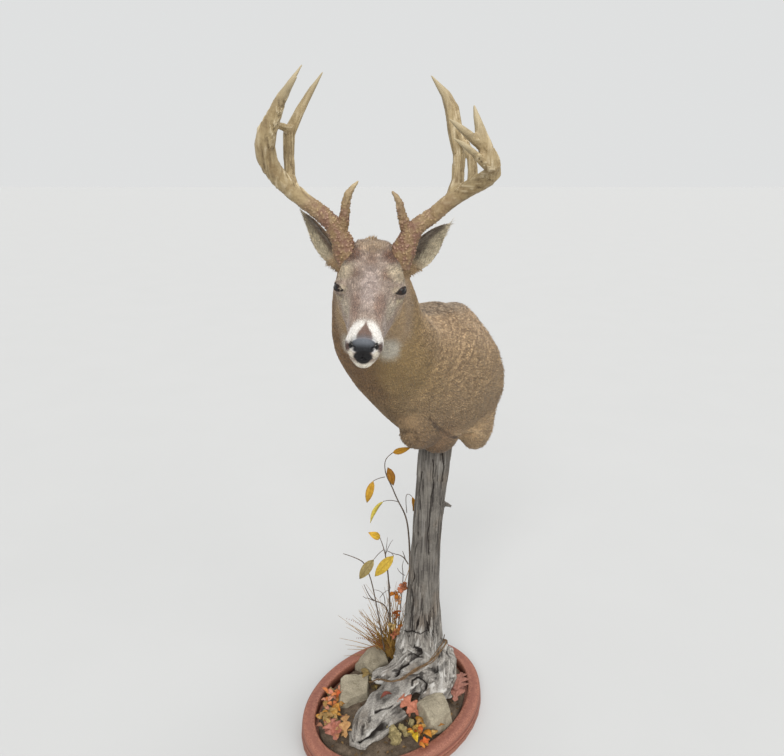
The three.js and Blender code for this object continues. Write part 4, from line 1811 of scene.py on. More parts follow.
@dataclass
class Grain:
    """The lie of the grain over a mesh of limbs, found from how its surface turns."""

    mesh: bpy.types.Mesh
    smoothing: int = 14

    def __post_init__(self) -> None:
        """Reads the mesh and finds the direction along each limb."""
        self.rows = vertices_of(self.mesh)
        edges = np.empty(len(self.mesh.edges) * 2, np.int32)
        self.mesh.edges.foreach_get("vertices", edges)
        self.one, self.other = edges.reshape(-1, 2).T
        normals = normals_of(self.mesh)
        pairs = [(a, b) for a in range(3) for b in range(a, 3)]
        spread = np.stack([normals[:, a] * normals[:, b] for a, b in pairs], axis=1)
        even = np.ones(len(self.one))
        for _ in range(self.smoothing):
            spread = self._mean(spread, even)
        tensor = np.empty((len(self.rows), 3, 3))
        for k, (a, b) in enumerate(pairs):
            tensor[:, a, b] = tensor[:, b, a] = spread[:, k]
        self.along = np.linalg.eigh(tensor)[1][:, :, 0]

    def _mean(self, values: np.ndarray, weight: np.ndarray) -> np.ndarray:
        """Weighted mean of each vertex's values and its neighbours'.

        Args:
            values: One value or row for each vertex.
            weight: One weight for each edge; a vertex's own is 1.

        Returns:
            The means, shaped like the values.
        """
        size = len(self.rows)
        flat = values.reshape(size, -1)
        total = flat.copy()
        heavy = 1 + np.bincount(self.one, weight, size) + np.bincount(self.other, weight, size)
        for k in range(flat.shape[1]):
            total[:, k] += np.bincount(self.one, weight * flat[self.other, k], size)
            total[:, k] += np.bincount(self.other, weight * flat[self.one, k], size)
        return (total / heavy[:, None]).reshape(values.shape)

    def streaks(self, rounds: int, seed: int, width: float = 0.0) -> np.ndarray:
        """Random lines that follow the grain, with a mean of 0 and a spread of 1.

        Args:
            rounds: More rounds give longer lines.
            seed: Picks one pattern of many.
            width: Breadth of the lines in metres, or 0 for lines as fine as the mesh.

        Returns:
            One value a vertex.
        """
        step = unit(self.rows[self.other] - self.rows[self.one])
        both = self.along[self.one] + self.along[self.other] * self._agree()
        aligned = np.abs((step * both).sum(axis=1)) / 2
        weight = 12 * aligned**10
        if width:
            values = noise(self.rows, width, seed)
        else:
            values = np.random.default_rng(seed).normal(size=len(self.rows))
        for _ in range(rounds):
            values = self._mean(values, weight)
        return (values - values.mean()) / values.std()

    def _agree(self) -> np.ndarray:
        """1 or -1 for each edge, so that both ends' directions point one way."""
        return np.sign((self.along[self.one] * self.along[self.other]).sum(axis=1))[:, None]


# ---------------------------------------------------------------- antlers


@dataclass(frozen=True)
class AntlerFinish(Finish):
    """Bone stained brown at the pearled base, tan along the beams and ivory at the tips, with painted
    highlights on the pearls and the raised streaks.
    """

    def build(self) -> bpy.types.Material:
        """Wires the material.

        Returns:
            The material.
        """
        material, nodes, shader = self.start()
        beam, _ = self.mottled(nodes, rgb("a4916c"), rgb("7f6a49"), 0.03)
        ruddy = nodes.levels(nodes.noise(0.016, detail=2.0), 0.4, 0.6)
        under = nodes.mix(ruddy, rgb("7d6446"), rgb("6b493a"))
        # Paler pearl tops: partly the rubbed bone's own colour, partly a painted highlight.
        pearl_tips_and_highlight = nodes.levels(nodes.attribute("pearl", "Fac"), 0.45, 1.0, (0, 0.65))
        root = nodes.mix(pearl_tips_and_highlight, under, nodes.mix(ruddy, rgb("bfa478"), rgb("bd9985")))
        streak = nodes.attribute("streak", "Fac")
        beam = nodes.mix(nodes.levels(streak, -0.4, -2.2, (0, 0.6)), beam, rgb("5a4730"))
        # Paler along the raised streaks: partly the bone's rubbed ridges, partly a painted highlight.
        beam = nodes.mix(nodes.levels(streak, 0.3, 2.0, (0, 0.7)), beam, rgb("cbbb9b"))
        colour = nodes.mix(nodes.attribute("root", "Fac"), beam, root)
        colour = nodes.mix(nodes.attribute("tip", "Fac"), colour, rgb("a39577"))
        nodes.feed(shader.inputs["Base Color"], colour)
        fine = nodes.noise(0.0012, detail=4.0, rough=0.65)
        nodes.feed(shader.inputs["Roughness"], nodes.levels(fine, 0.3, 0.7, (0.42, 0.62)))
        nodes.feed(shader.inputs["Normal"], nodes.bump(fine, 0.0006))
        return material


@dataclass
class Antlers:
    """Both antlers, each one piece of bone from burr to tips."""

    voxel: float = 1.6
    fillet: float = 4
    pearl_reach: float = 165
    tips: tuple[Triple, ...] = (
        (-173, -387, 1731), (-73, -256, 1550), (-141, -229, 1755), (-176, -273, 1763),
        (143, -352, 1686), (-6, -256, 1530), (70, -232, 1748), (94, -397, 1661), (101, -412, 1628),
    )

    def build(self) -> list[bpy.types.Object]:
        """Builds both antlers."""
        material = AntlerFinish("antler_bone", specular=0.4).build()
        return [self._antler(side, material) for side in ("right", "left")]

    def _antler(self, side: str, material: bpy.types.Material) -> bpy.types.Object:
        """Builds one antler from its solids.

        Args:
            side: The side of the head that it grows on.
            material: The bone's material.

        Returns:
            The finished piece.
        """
        names = [name for name in bpy.data.objects.keys() if name.startswith(f"antler_{side}_")]
        piece = swollen_copies(f"antlers_{side}", names, 0.4 * MM)
        add_fillets(piece, names, self.fillet * MM, 2.2 * MM)
        remesh(piece, self.voxel * MM)
        mesh = piece.data
        relax(mesh, 0.5, 9)
        grain = Grain(mesh)
        streak = 0.75 * grain.streaks(150, 5, 0.0042) + 0.5 * grain.streaks(110, 6)
        rows = vertices_of(mesh)
        burr = np.array(ANTLER_ROOTS[side][1][:3]) * MM
        far = np.linalg.norm(rows - burr, axis=1) / MM
        root = ramp(self.pearl_reach, 40, far + 28 * noise(rows, 0.03, 44))
        fine = 0.7 * ramp(0.55, 0.2, cells(rows, 0.0036, 42))
        coarse = ramp(0.6, 0.1, cells(rows, 0.0058, 41))
        pearl = np.maximum(coarse, fine) * ramp(-1.0, -0.1, noise(rows, 0.009, 46))
        foot = [point[:3] for point in ANTLER_ROOTS[side][:2]]
        collar = np.exp(-((near_path(rows / MM, foot) - 24) ** 2) / 60)
        collar *= np.exp(-(((rows[:, 2] / MM) - 1400) ** 2) / 260)
        reach = np.linalg.norm(rows[:, None] - np.array(self.tips)[None] * MM, axis=2).min(axis=1) / MM
        tip = ramp(85, 12, reach) * (1 - 0.8 * ramp(170, 120, far))
        plain = 1 - np.maximum(root, tip)
        lift = 3.4 * pearl * root + 3.5 * collar + 0.55 * streak * plain + 0.25 * streak * root
        lift -= 0.9 * ramp(-0.9, -2.2, streak) * plain
        raise_surface(mesh, lift)
        paint(mesh, "root", root * 0.9)
        paint(mesh, "pearl", pearl)
        paint(mesh, "tip", tip * 0.85)
        paint(mesh, "streak", streak)
        return finish_piece(piece, material, names)


# ---------------------------------------------------------------- eyes


@dataclass(frozen=True)
class EyeFinish(Finish):
    """Dark brown glass eye with a wide pupil under a clear front."""

    def build(self) -> bpy.types.Material:
        """Wires the material.

        Returns:
            The material.
        """
        material, nodes, shader = self.start()
        iris = nodes.attribute("iris", "Fac")
        rays = nodes.noise(0.0012, detail=4.0)
        brown = nodes.mix(nodes.levels(rays, 0.35, 0.7), rgb("180c07"), rgb("2e190d"))
        colour = nodes.mix(nodes.levels(iris, 0.42, 0.5), rgb("050404"), brown)
        colour = nodes.mix(nodes.levels(iris, 0.84, 0.95), colour, rgb("15100d"))
        nodes.feed(shader.inputs["Base Color"], colour)
        nodes.feed(shader.inputs["Roughness"], nodes.levels(rays, 0.3, 0.7, (0.05, 0.1)))
        return material


@dataclass
class Eyes:
    """The two glass eyes."""

    def build(self) -> list[bpy.types.Object]:
        """Builds both eyes."""
        material = EyeFinish("eye_glass", specular=0.4).build()
        return [self._eye(socket, material) for socket in SOCKETS]

    def _eye(self, socket: Socket, material: bpy.types.Material) -> bpy.types.Object:
        """Builds one eye: a ball with a slightly raised clear front.

        Args:
            socket: The eye's place.
            material: The glass.

        Returns:
            The finished piece.
        """
        side = "left" if socket.sign > 0 else "right"
        shape = bmesh.new()
        bmesh.ops.create_icosphere(shape, subdivisions=5, radius=1.0)
        piece = from_bmesh(f"eye_glass_{side}", shape)
        mesh = piece.data
        ball = vertices_of(mesh)
        out = socket.frame() * np.array([socket.sign, 1, 1])
        local = ball @ out.T
        oval = np.hypot(local[:, 1] / 1.25, local[:, 2])
        iris = np.where(local[:, 0] > 0, oval / 0.62, 1.5)
        raised = socket.radius + 0.5 * ramp(1.0, 0.4, iris)
        centre = socket.centre()
        move_vertices(mesh, HEAD.world(centre + ball * raised[:, None]))
        paint(mesh, "iris", iris.clip(0, 1))
        return finish_piece(piece, material, (f"eye_{side}",))


# ---------------------------------------------------------------- driftwood


@dataclass(frozen=True)
class DriftwoodFinish(Finish):
    """Bleached wood: silver ridges, painted shade in the grooves, cracks and knot holes, and warm bare
    patches.
    """

    def build(self) -> bpy.types.Material:
        """Wires the material.

        Returns:
            The material.
        """
        material, nodes, shader = self.start()
        streak = nodes.attribute("streak", "Fac")
        low = nodes.attribute("low", "Fac")
        pale = nodes.mix(low, rgb("77726a"), rgb("a8a39b"))
        silver, _ = self.mottled(nodes, pale, nodes.mix(low, rgb("57524d"), rgb("77726b")), 0.035)
        warm = nodes.levels(nodes.noise(0.11, detail=2.0), 0.5, 0.64, (0, 0.5))
        silver = nodes.mix(warm, silver, rgb("6a5a49"))
        fine = nodes.noise(0.004, nodes.place((1, 1, 0.08)), detail=4.0, rough=0.7)
        silver = nodes.mix(nodes.levels(fine, 0.62, 0.38, (0, 0.5)), silver, rgb("46423f"))
        # Painted shade: darker down in the grooves of the grain.
        colour = nodes.mix(nodes.levels(streak, -0.2, -1.5, (0, 0.85)), silver, rgb("2f2b29"))
        # Paler on the raised ridges, more so low down.
        ridge = nodes.levels(streak, 0.6, 2.2, (0, 0.7))
        ridge_paling = nodes.math("MULTIPLY", ridge, nodes.levels(low, 0, 1, (0.3, 1)))
        colour = nodes.mix(ridge_paling, colour, rgb("c2bfb9"))
        # Painted shade in the cracks, splits and knot holes.
        colour = nodes.mix(nodes.attribute("hollow", "Fac"), colour, rgb("1f1a17"))
        nodes.feed(shader.inputs["Base Color"], colour)
        nodes.feed(shader.inputs["Roughness"], nodes.levels(fine, 0.3, 0.7, (0.95, 0.78)))
        height = nodes.math("ADD", fine, nodes.math("MULTIPLY", nodes.noise(0.0015), 0.3))
        nodes.feed(shader.inputs["Normal"], nodes.bump(height, 0.0016))
        return material


@dataclass(frozen=True)
class Knot:
    """A knot in the wood: rings round a dark middle, in world millimetres."""

    at: Triple
    reach: float
    ring: float
    height: float
    hole: float

    def carve(self, points: np.ndarray) -> tuple[np.ndarray, np.ndarray]:
        """Lift in millimetres and darkness of each point: the knot's dark middle, sunk and deepened by
        painted shade, and its darker rings.

        Args:
            points: Rows in metres.

        Returns:
            Both, one of each for each point.
        """
        far = np.linalg.norm(points / MM - self.at, axis=1)
        fade = np.exp(-((far / self.reach) ** 2) * 1.6)
        rings = np.cos(2 * math.pi * far / self.ring)
        core = ramp(0.5 * self.ring + 3, 0.5, far)
        return fade * rings * self.height - core * self.hole, np.maximum(core, 0.45 * fade * (rings < -0.4))


@dataclass
class Driftwood:
    """The trunk with its roots, weathered along its grain."""

    voxel: float = 2.4
    nodes: tuple[str, ...] = ("post", "post_knot", "root_left", "root_long", "root_prong", "root_burl")
    knots: tuple[Knot, ...] = (
        Knot((-86, -150, 84), 26, 9.0, 2.6, 5),
        Knot((72, -30, 112), 30, 11.0, 3.5, 8),
        Knot((152, 92, 640), 12, 7.0, 1.0, 6),
        Knot((56, 56, 600), 13, 9.0, 0.8, 7),
        Knot((124, 52, 596), 11, 8.0, 0.8, 6),
        Knot((60, 40, 700), 10, 8.0, 0.5, 5),
    )
    # Grooves cut into the wood, each drawn dark with painted shade.
    cracks: tuple[Crease, ...] = (
        Crease(((-20, 22, 91), (-1, 17, 109), (14, 23, 127), (33, 20, 143), (42, 18, 151)), 4, 10, False),
        Crease(
            ((-104, -192, 62), (-80, -184, 64), (-60, -166, 64), (-40, -145, 66), (-19, -130, 68)),
            4, 12, False,
        ),
        Crease(((-48, -49, 95), (-19, -49, 103), (10, -35, 105)), 9, 5, False),
        Crease(((108, 20, 125), (127, 18, 122), (145, 19, 134), (157, 31, 142)), 7, 6, False),
        Crease(((59, 30, 180), (70, 20, 175), (85, 16, 169)), 3.5, 6, False),
        Crease(((-51, -103, 91), (-26, -90, 92), (-1, -82, 89)), 3, 5, False),
        Crease(
            ((51, -25, 104), (55, -10, 114), (74, 1, 114), (89, 4, 102), (92, -9, 95), (81, -16, 83)),
            3.5, 7, False,
        ),
        Crease(((30, 66, 226), (59, 43, 241), (80, 39, 238), (100, 38, 245)), 3, 2.5, False),
        Crease(((76, 62, 756), (69, 64, 701), (72, 62, 640)), 2, 4, False),
        Crease(((105, 47, 800), (110, 46, 717), (101, 47, 663), (98, 48, 591), (102, 48, 500)), 2, 4, False),
        Crease(((133, 49, 814), (141, 58, 773), (135, 57, 728)), 2.2, 4, False),
        Crease(((70, 64, 570), (64, 62, 526), (57, 64, 475), (54, 63, 400), (51, 57, 309)), 2.2, 4, False),
        Crease(((119, 46, 560), (116, 48, 440), (122, 50, 330)), 1.8, 3, False),
    )

    def build(self) -> bpy.types.Object:
        """Builds the trunk and roots as one piece.

        Returns:
            The finished piece.
        """
        piece = swollen_copies("driftwood", self.nodes, 0.4 * MM)
        remesh(piece, self.voxel * MM)
        mesh = piece.data
        relax(mesh, 0.5, 10)
        grain = Grain(mesh, 22)
        broad = grain.streaks(110, 12, 0.012)
        middle = grain.streaks(200, 13, 0.0052)
        long = grain.streaks(230, 8)
        short = grain.streaks(45, 9)
        rows = vertices_of(mesh)
        low = ramp(0.34, 0.12, rows[:, 2])
        lift = -2.2 + 0.3 * long + 0.2 * short + (0.7 + 0.9 * low) * middle + (0.7 + 2.0 * low) * broad
        split = ramp(-1.1, -2.0, middle) * ramp(-0.5, 0.4, noise(rows, 0.08, 51))
        lift -= (2.2 + 1.4 * low) * split
        # Painted shade: how dark each point is drawn in the splits, cracks and knot holes.
        hollow = split.copy()
        for knot in self.knots:
            raised, dark = knot.carve(rows)
            lift += raised
            hollow = np.maximum(hollow, dark)
        wander = rows / MM + 4 * np.stack([noise(rows, 0.03, k) for k in (52, 53, 54)], axis=1)
        for crack in self.cracks:
            cut = crack.amount(wander, wander * MM)
            lift += cut
            hollow = np.maximum(hollow, ramp(0.3, 0.8, -cut / crack.depth) * (1 if crack.width < 5 else 0.55))
        raise_surface(mesh, lift)
        paint(mesh, "streak", 0.6 * long + 0.25 * short + 0.6 * middle + 0.4 * broad)
        paint(mesh, "low", low)
        paint(mesh, "hollow", hollow.clip(0, 1))
        wood = DriftwoodFinish("driftwood", specular=0.2).build()
        return finish_piece(piece, wood, self.nodes)


# ---------------------------------------------------------------- base


@dataclass(frozen=True)
class StainedWoodFinish(Finish):
    """Terracotta stain over wood, worn to pale and scuffed dark at the edges."""

    def build(self) -> bpy.types.Material:
        """Wires the material.

        Returns:
            The material.
        """
        material, nodes, shader = self.start()
        stain, _ = self.mottled(nodes, rgb("7b4839"), rgb("6a3a2d"), 0.09)
        grain = nodes.noise(0.005, nodes.place((1, 1, 6)), detail=5.0, rough=0.6)
        stain = nodes.mix(nodes.levels(grain, 0.5, 0.62, (0, 0.35)), stain, rgb("67392e"))
        worn = nodes.add("ShaderNodeNewGeometry").outputs["Pointiness"]
        edge = nodes.math("MULTIPLY", nodes.levels(worn, 0.505, 0.53), nodes.levels(grain, 0.4, 0.6))
        colour = nodes.mix(edge, stain, rgb("94634f"))
        scuff = nodes.levels(nodes.noise(0.02, detail=5.0, rough=0.75), 0.64, 0.7, (0, 0.6))
        colour = nodes.mix(scuff, colour, rgb("5a3a32"))
        nodes.feed(shader.inputs["Base Color"], colour)
        nodes.feed(shader.inputs["Roughness"], nodes.levels(grain, 0.3, 0.7, (0.5, 0.66)))
        nodes.feed(shader.inputs["Normal"], nodes.bump(grain, 0.0006))
        return material


@dataclass(frozen=True)
class EarthFinish(Finish):
    """Crumbly ground, stone or moss: two colours, specks and a rough relief."""

    main: str = "6f6152"
    dark: str = "43382e"
    speck: str = "8d7c66"
    size: float = 0.02
    relief: float = 0.003

    def build(self) -> bpy.types.Material:
        """Wires the material.

        Returns:
            The material.
        """
        material, nodes, shader = self.start()
        colour, height = self.mottled(nodes, rgb(self.main), rgb(self.dark), self.size)
        grit = nodes.noise(self.size / 9, detail=4.0, rough=0.7)
        colour = nodes.mix(nodes.levels(grit, 0.6, 0.68, (0, 0.8)), colour, rgb(self.speck))
        nodes.feed(shader.inputs["Base Color"], colour)
        nodes.feed(shader.inputs["Roughness"], nodes.levels(grit, 0.3, 0.7, (0.98, 0.82)))
        rough = nodes.math("ADD", nodes.math("MULTIPLY", height, 0.5), grit)
        nodes.feed(shader.inputs["Normal"], nodes.bump(rough, self.relief))
        return material


@dataclass(frozen=True)
class Stone:
    """An angular field stone: a ball cut by flats, then chipped. Sizes in millimetres."""

    node: str
    at: Triple
    half: Triple
    turn: float
    seed: int
    sides: tuple[Triple, ...] = ((0.05, -0.22, 1), (0.9, -0.3, 0.1), (-1, 0.2, 0.2), (0.1, -1, 0.1))
    side_depth: float = 0.7
    flats: int = 10
    foot: float = 22

    def build(self) -> bpy.types.Object:
        """Cuts the ball, rounds its edges a little and chips it.

        Returns:
            The stone, not yet dressed.
        """
        chance = np.random.default_rng(self.seed)
        shape = bmesh.new()
        bmesh.ops.create_icosphere(shape, subdivisions=4, radius=1.25)
        planes = unit(np.vstack([self.sides, chance.normal(size=(self.flats, 3))]))
        for number, facing in enumerate(planes):
            depth = self.side_depth if number < len(self.sides) else chance.uniform(0.8, 0.98)
            self._slice(shape, facing * depth, facing)
        buried = (self.at[2] - self.foot) / self.half[2]
        self._slice(shape, (0, 0, -buried), (0, 0, -1))
        turned = Matrix.Rotation(math.radians(self.turn), 4, "Z") @ Matrix.Diagonal((*self.half, 1))
        shape.transform(Matrix.Scale(MM, 4) @ Matrix.Translation(self.at) @ turned)
        bmesh.ops.triangulate(shape, faces=shape.faces)
        piece = from_bmesh(f"stone_{self.node[5:]}", shape)
        remesh(piece, 1.8 * MM)
        relax(piece.data, 0.5, 2)
        rows = vertices_of(piece.data)
        chip = 0.9 * noise(rows, 0.014, 71) + 0.5 * noise(rows, 0.006, 72)
        chip -= 1.6 * ramp(0.25, 0.0, np.abs(noise(rows, 0.03, 73)))
        raise_surface(piece.data, chip)
        return piece

    @staticmethod
    def _slice(shape: bmesh.types.BMesh, place: Sequence, facing: Sequence) -> None:
        """Cuts off what lies beyond a plane and closes the cut.

        Args:
            shape: The stone.
            place: A point on the plane.
            facing: The plane's outward direction.
        """
        cut = bmesh.ops.bisect_plane(
            shape,
            geom=shape.verts[:] + shape.edges[:] + shape.faces[:],
            plane_co=place,
            plane_no=facing,
            clear_outer=True,
        )
        edges = [item for item in cut["geom_cut"] if isinstance(item, bmesh.types.BMEdge)]
        bmesh.ops.edgenet_fill(shape, edges=edges)


@dataclass
class Base:
    """The moulded oval ring, the ground inside it, the stones and the backboard."""

    half_length: float = 302
    half_width: float = 231
    turn: float = 47
    profile: tuple[tuple[float, float], ...] = (
        (0.4, 14.3), (-1.6, 17), (-1.2, 22), (2.2, 25), (2.6, 27), (0.6, 29), (0, 36), (1.2, 42),
        (4.5, 46.2), (9.5, 47.9), (20, 48.1), (33, 47.8), (36.6, 46.2), (37.8, 43), (37.8, 14.4),
    )
    segments: int = 160
    spun: float = 1000
    stones: tuple[Stone, ...] = (
        Stone("rock_right", (120, -94, 58), (64, 50, 48), 40, 3),
        Stone("rock_left", (-122, 10, 44), (68, 57, 46), 20, 5),
        Stone("rock_back", (-62, 132, 44), (68, 50, 42), 40, 8),
    )

    def oval(self, angle: float, inset: float) -> Vector:
        """Point of the base's oval at an angle, moved inwards by a distance in millimetres.

        Args:
            angle: The angle in radians.
            inset: The distance.

        Returns:
            The point, in metres.
        """
        a, b = self.half_length, self.half_width
        normal = Vector((math.cos(angle) / a, math.sin(angle) / b)).normalized()
        flat = Vector((a * math.cos(angle), b * math.sin(angle))) - normal * inset
        turned = Matrix.Rotation(math.radians(self.turn), 2) @ flat
        return Vector((turned.x, turned.y, 0)) * MM

    def build(self) -> list[bpy.types.Object]:
        """Builds the ring and the ground, and finishes the solids that stay.

        Returns:
            The ring, the ground and the stones.
        """
        wood = StainedWoodFinish("stained_wood", specular=0.4).build()
        nodes = bpy.data.objects
        for name in ("base_board", "back_panel"):
            self._dress(nodes[name], wood)
        return [self._ring(wood), self._soil(), *self._stones()]

    @staticmethod
    def _dress(node: bpy.types.Object, material: bpy.types.Material) -> None:
        """Gives a CAD node that stays a new material."""
        node.data.materials.clear()
        node.data.materials.append(material)

    def _ring(self, material: bpy.types.Material) -> bpy.types.Object:
        """Spins the moulding's outline into a wide circle and lays that round the oval.

        Args:
            material: The ring's material.

        Returns:
            The finished piece.
        """
        shape = bmesh.new()
        start = [shape.verts.new((self.spun - inset, 0, height)) for inset, height in self.profile]
        for one, other in zip(start, start[1:] + start[:1], strict=True):
            shape.edges.new((one, other))
        bmesh.ops.spin(
            shape,
            geom=shape.verts[:] + shape.edges[:],
            cent=(0, 0, 0),
            axis=(0, 0, 1),
            angle=2 * math.pi,
            steps=self.segments,
            use_merge=True,
        )
        bmesh.ops.remove_doubles(shape, verts=shape.verts, dist=1e-3)
        for vert in shape.verts:
            flat = math.hypot(vert.co.x, vert.co.y)
            place = self.oval(math.atan2(vert.co.y, vert.co.x), self.spun - flat)
            vert.co = (place.x, place.y, vert.co.z * MM)
        bmesh.ops.recalc_face_normals(shape, faces=shape.faces)
        piece = from_bmesh("moulded_ring", shape)
        return finish_piece(piece, material, ("base_ring",))

    def _soil(self) -> bpy.types.Object:
        """Roughens the ground into crumbs and hollows.

        Returns:
            The finished piece.
        """
        piece = swollen_copies("ground", ("soil",), 0.0)
        remesh(piece, 3.2 * MM)
        relax(piece.data, 0.5, 8)
        rows = vertices_of(piece.data)
        lift = 2.2 * noise(rows, 0.03, 61) + 1.3 * noise(rows, 0.012, 62) + 0.8 * noise(rows, 0.005, 63) - 1.5
        top = ramp(0.02, 0.03, rows[:, 2])
        rows[:, 2] += lift * top * MM
        move_vertices(piece.data, rows)
        finish = EarthFinish("ground", specular=0.15)
        return finish_piece(piece, finish.build(), ("soil",))

    def _stones(self) -> list[bpy.types.Object]:
        """Builds the field stones.

        Returns:
            The finished pieces.
        """
        grey = {"main": "958c79", "dark": "6f6756", "speck": "b5ac99"}
        material = EarthFinish("field_stone", specular=0.2, size=0.03, relief=0.0012, **grey).build()
        return [finish_piece(stone.build(), material, (stone.node,)) for stone in self.stones]


# ---------------------------------------------------------------- plants


def rods(name: str, runs: Sequence) -> bpy.types.Object:
    """Round tapering stems along smooth runs of x, y, z and radius, in millimetres.

    Args:
        name: The object's name.
        runs: Points of each run.

    Returns:
        One object with all the stems.
    """
    curve = bpy.data.curves.new(name, "CURVE")
    curve.dimensions = "3D"
    curve.bevel_depth = MM
    curve.bevel_resolution = 1
    curve.use_fill_caps = True
    for run in runs:
        spline = curve.splines.new("NURBS")
        spline.points.add(len(run) - 1)
        spline.order_u = min(3, len(run))
        spline.use_endpoint_u = True
        spline.resolution_u = 5
        for point, (x, y, z, radius) in zip(spline.points, run, strict=True):
            point.co = (x * MM, y * MM, z * MM, 1)
            point.radius = radius
    holder = bpy.data.objects.new(f"{name}_runs", curve)
    mesh = bpy.data.meshes.new_from_object(holder)
    mesh.name = name
    bpy.data.objects.remove(holder)
    return new_object(name, mesh)


@dataclass(frozen=True)
class LeafFinish(Finish):
    """Dry leaf: its own colour, a midrib and slanting side veins."""

    shade: Colour = (0.55, 0.48, 0.42, 1)

    def build(self) -> bpy.types.Material:
        """Wires the material.

        Returns:
            The material.
        """
        material, nodes, shader = self.start()
        place = nodes.add("ShaderNodeSeparateXYZ")
        nodes.feed(place.inputs[0], nodes.attribute("blade", "Vector"))
        side = nodes.math("ABSOLUTE", place.outputs["Y"])
        lean = nodes.math("MULTIPLY", side, 1.6)
        slant = nodes.math("SUBTRACT", nodes.math("MULTIPLY", place.outputs["X"], 7.0), lean)
        veins = nodes.levels(nodes.math("PINGPONG", slant, 0.5), 0.1, 0.0, (0, 0.6))
        ribs = nodes.math("MAXIMUM", veins, nodes.levels(side, 0.12, 0.03))
        tint = nodes.attribute("tint")
        dark = nodes.tinted(tint, self.shade)
        colour, height = self.mottled(nodes, tint, dark, 0.008)
        colour = nodes.mix(nodes.math("MULTIPLY", ribs, 0.55), colour, dark)
        nodes.feed(shader.inputs["Base Color"], colour)
        nodes.feed(shader.inputs["Normal"], nodes.bump(nodes.math("ADD", height, ribs), 0.0007))
        return material


@dataclass(frozen=True)
class Leaf:
    """One dry leaf from its foot to its tip, in millimetres."""

    foot: Triple
    tip: Triple
    half: float
    colour: str
    across: Triple = (1, 0, 0)
    arch: float = 0.12
    cup: float = 0.3
    lobes: float = 0.0
    rim: str = "7d5527"

    def outline(self, along: np.ndarray) -> np.ndarray:
        """Half width along the blade, from 0 to 1.

        Args:
            along: Shares of the way to the tip.

        Returns:
            One width for each share.
        """
        full = np.sin(np.pi * along**0.8) ** 0.85
        notch = 0.5 - 0.5 * np.cos(2 * np.pi * self.lobes * along)
        return 0.03 + full * (1 - 0.72 * notch**1.5 * (self.lobes > 0))

    def grow(self, shape: bmesh.types.BMesh) -> tuple[np.ndarray, np.ndarray]:
        """Adds the blade.

        Args:
            shape: The mesh that takes it.

        Returns:
            Colours of its vertices, and their places along and across the blade.
        """
        steps, sides = (30, 6) if self.lobes else (7, 4)
        made = bmesh.ops.create_grid(shape, x_segments=steps, y_segments=sides, size=1)["verts"]
        flat = np.array([vert.co[:2] for vert in made])
        along, over = (flat[:, 0] + 1) / 2, flat[:, 1]
        start, reach = np.array(self.foot, float), np.subtract(self.tip, self.foot).astype(float)
        length = np.linalg.norm(reach)
        side = np.array(self.across, float)
        side -= reach * (side @ reach) / length**2
        side /= np.linalg.norm(side)
        top = np.cross(reach / length, side)
        top *= np.sign(top[2]) or 1.0
        width = self.half * self.outline(along)
        lean = 0.09 * np.abs(over) * (self.lobes > 0) * np.sin(np.pi * along)
        ruffle = 0.12 * np.abs(over) * np.sin(11 * along + 2 * over + length)
        height = self.arch * length * np.sin(np.pi * along) + width * (self.cup * over**2 + ruffle)
        rows = start + np.outer(along + lean, reach) + np.outer(over * width, side) + np.outer(height, top)
        for vert, row in zip(made, rows, strict=True):
            vert.co = row * MM
        tint = np.tile(rgb(self.colour, 0.8)[:3], (len(made), 1))
        worn = ramp(0.55, 1.0, np.abs(over)) * 0.5 + 0.4 * ramp(0.75, 1.0, along)
        worn *= 0.6 + 0.8 * noise(rows * MM, 0.012, 81)
        tint += np.clip(worn, 0, 1)[:, None] * (np.array(rgb(self.rim)[:3]) - tint)
        return tint, np.column_stack([along, over, 0 * over])


def leaf_piece(name: str, leaves: Sequence[Leaf], thick: float = 0.5) -> bpy.types.Object:
    """Joins leaves into one piece with a wall.

    Args:
        name: The object's name.
        leaves: The leaves.
        thick: The wall's thickness in millimetres.

    Returns:
        The object.
    """
    shape = bmesh.new()
    grown = [leaf.grow(shape) for leaf in leaves]
    bmesh.ops.recalc_face_normals(shape, faces=shape.faces)
    piece = from_bmesh(name, shape)
    paint(piece.data, "tint", np.concatenate([tint for tint, _ in grown]))
    paint(piece.data, "blade", np.concatenate([place for _, place in grown]))
    wall = piece.modifiers.new("wall", "SOLIDIFY")
    wall.thickness = thick * MM
    wall.offset = 0
    apply_modifiers(piece)
    return piece


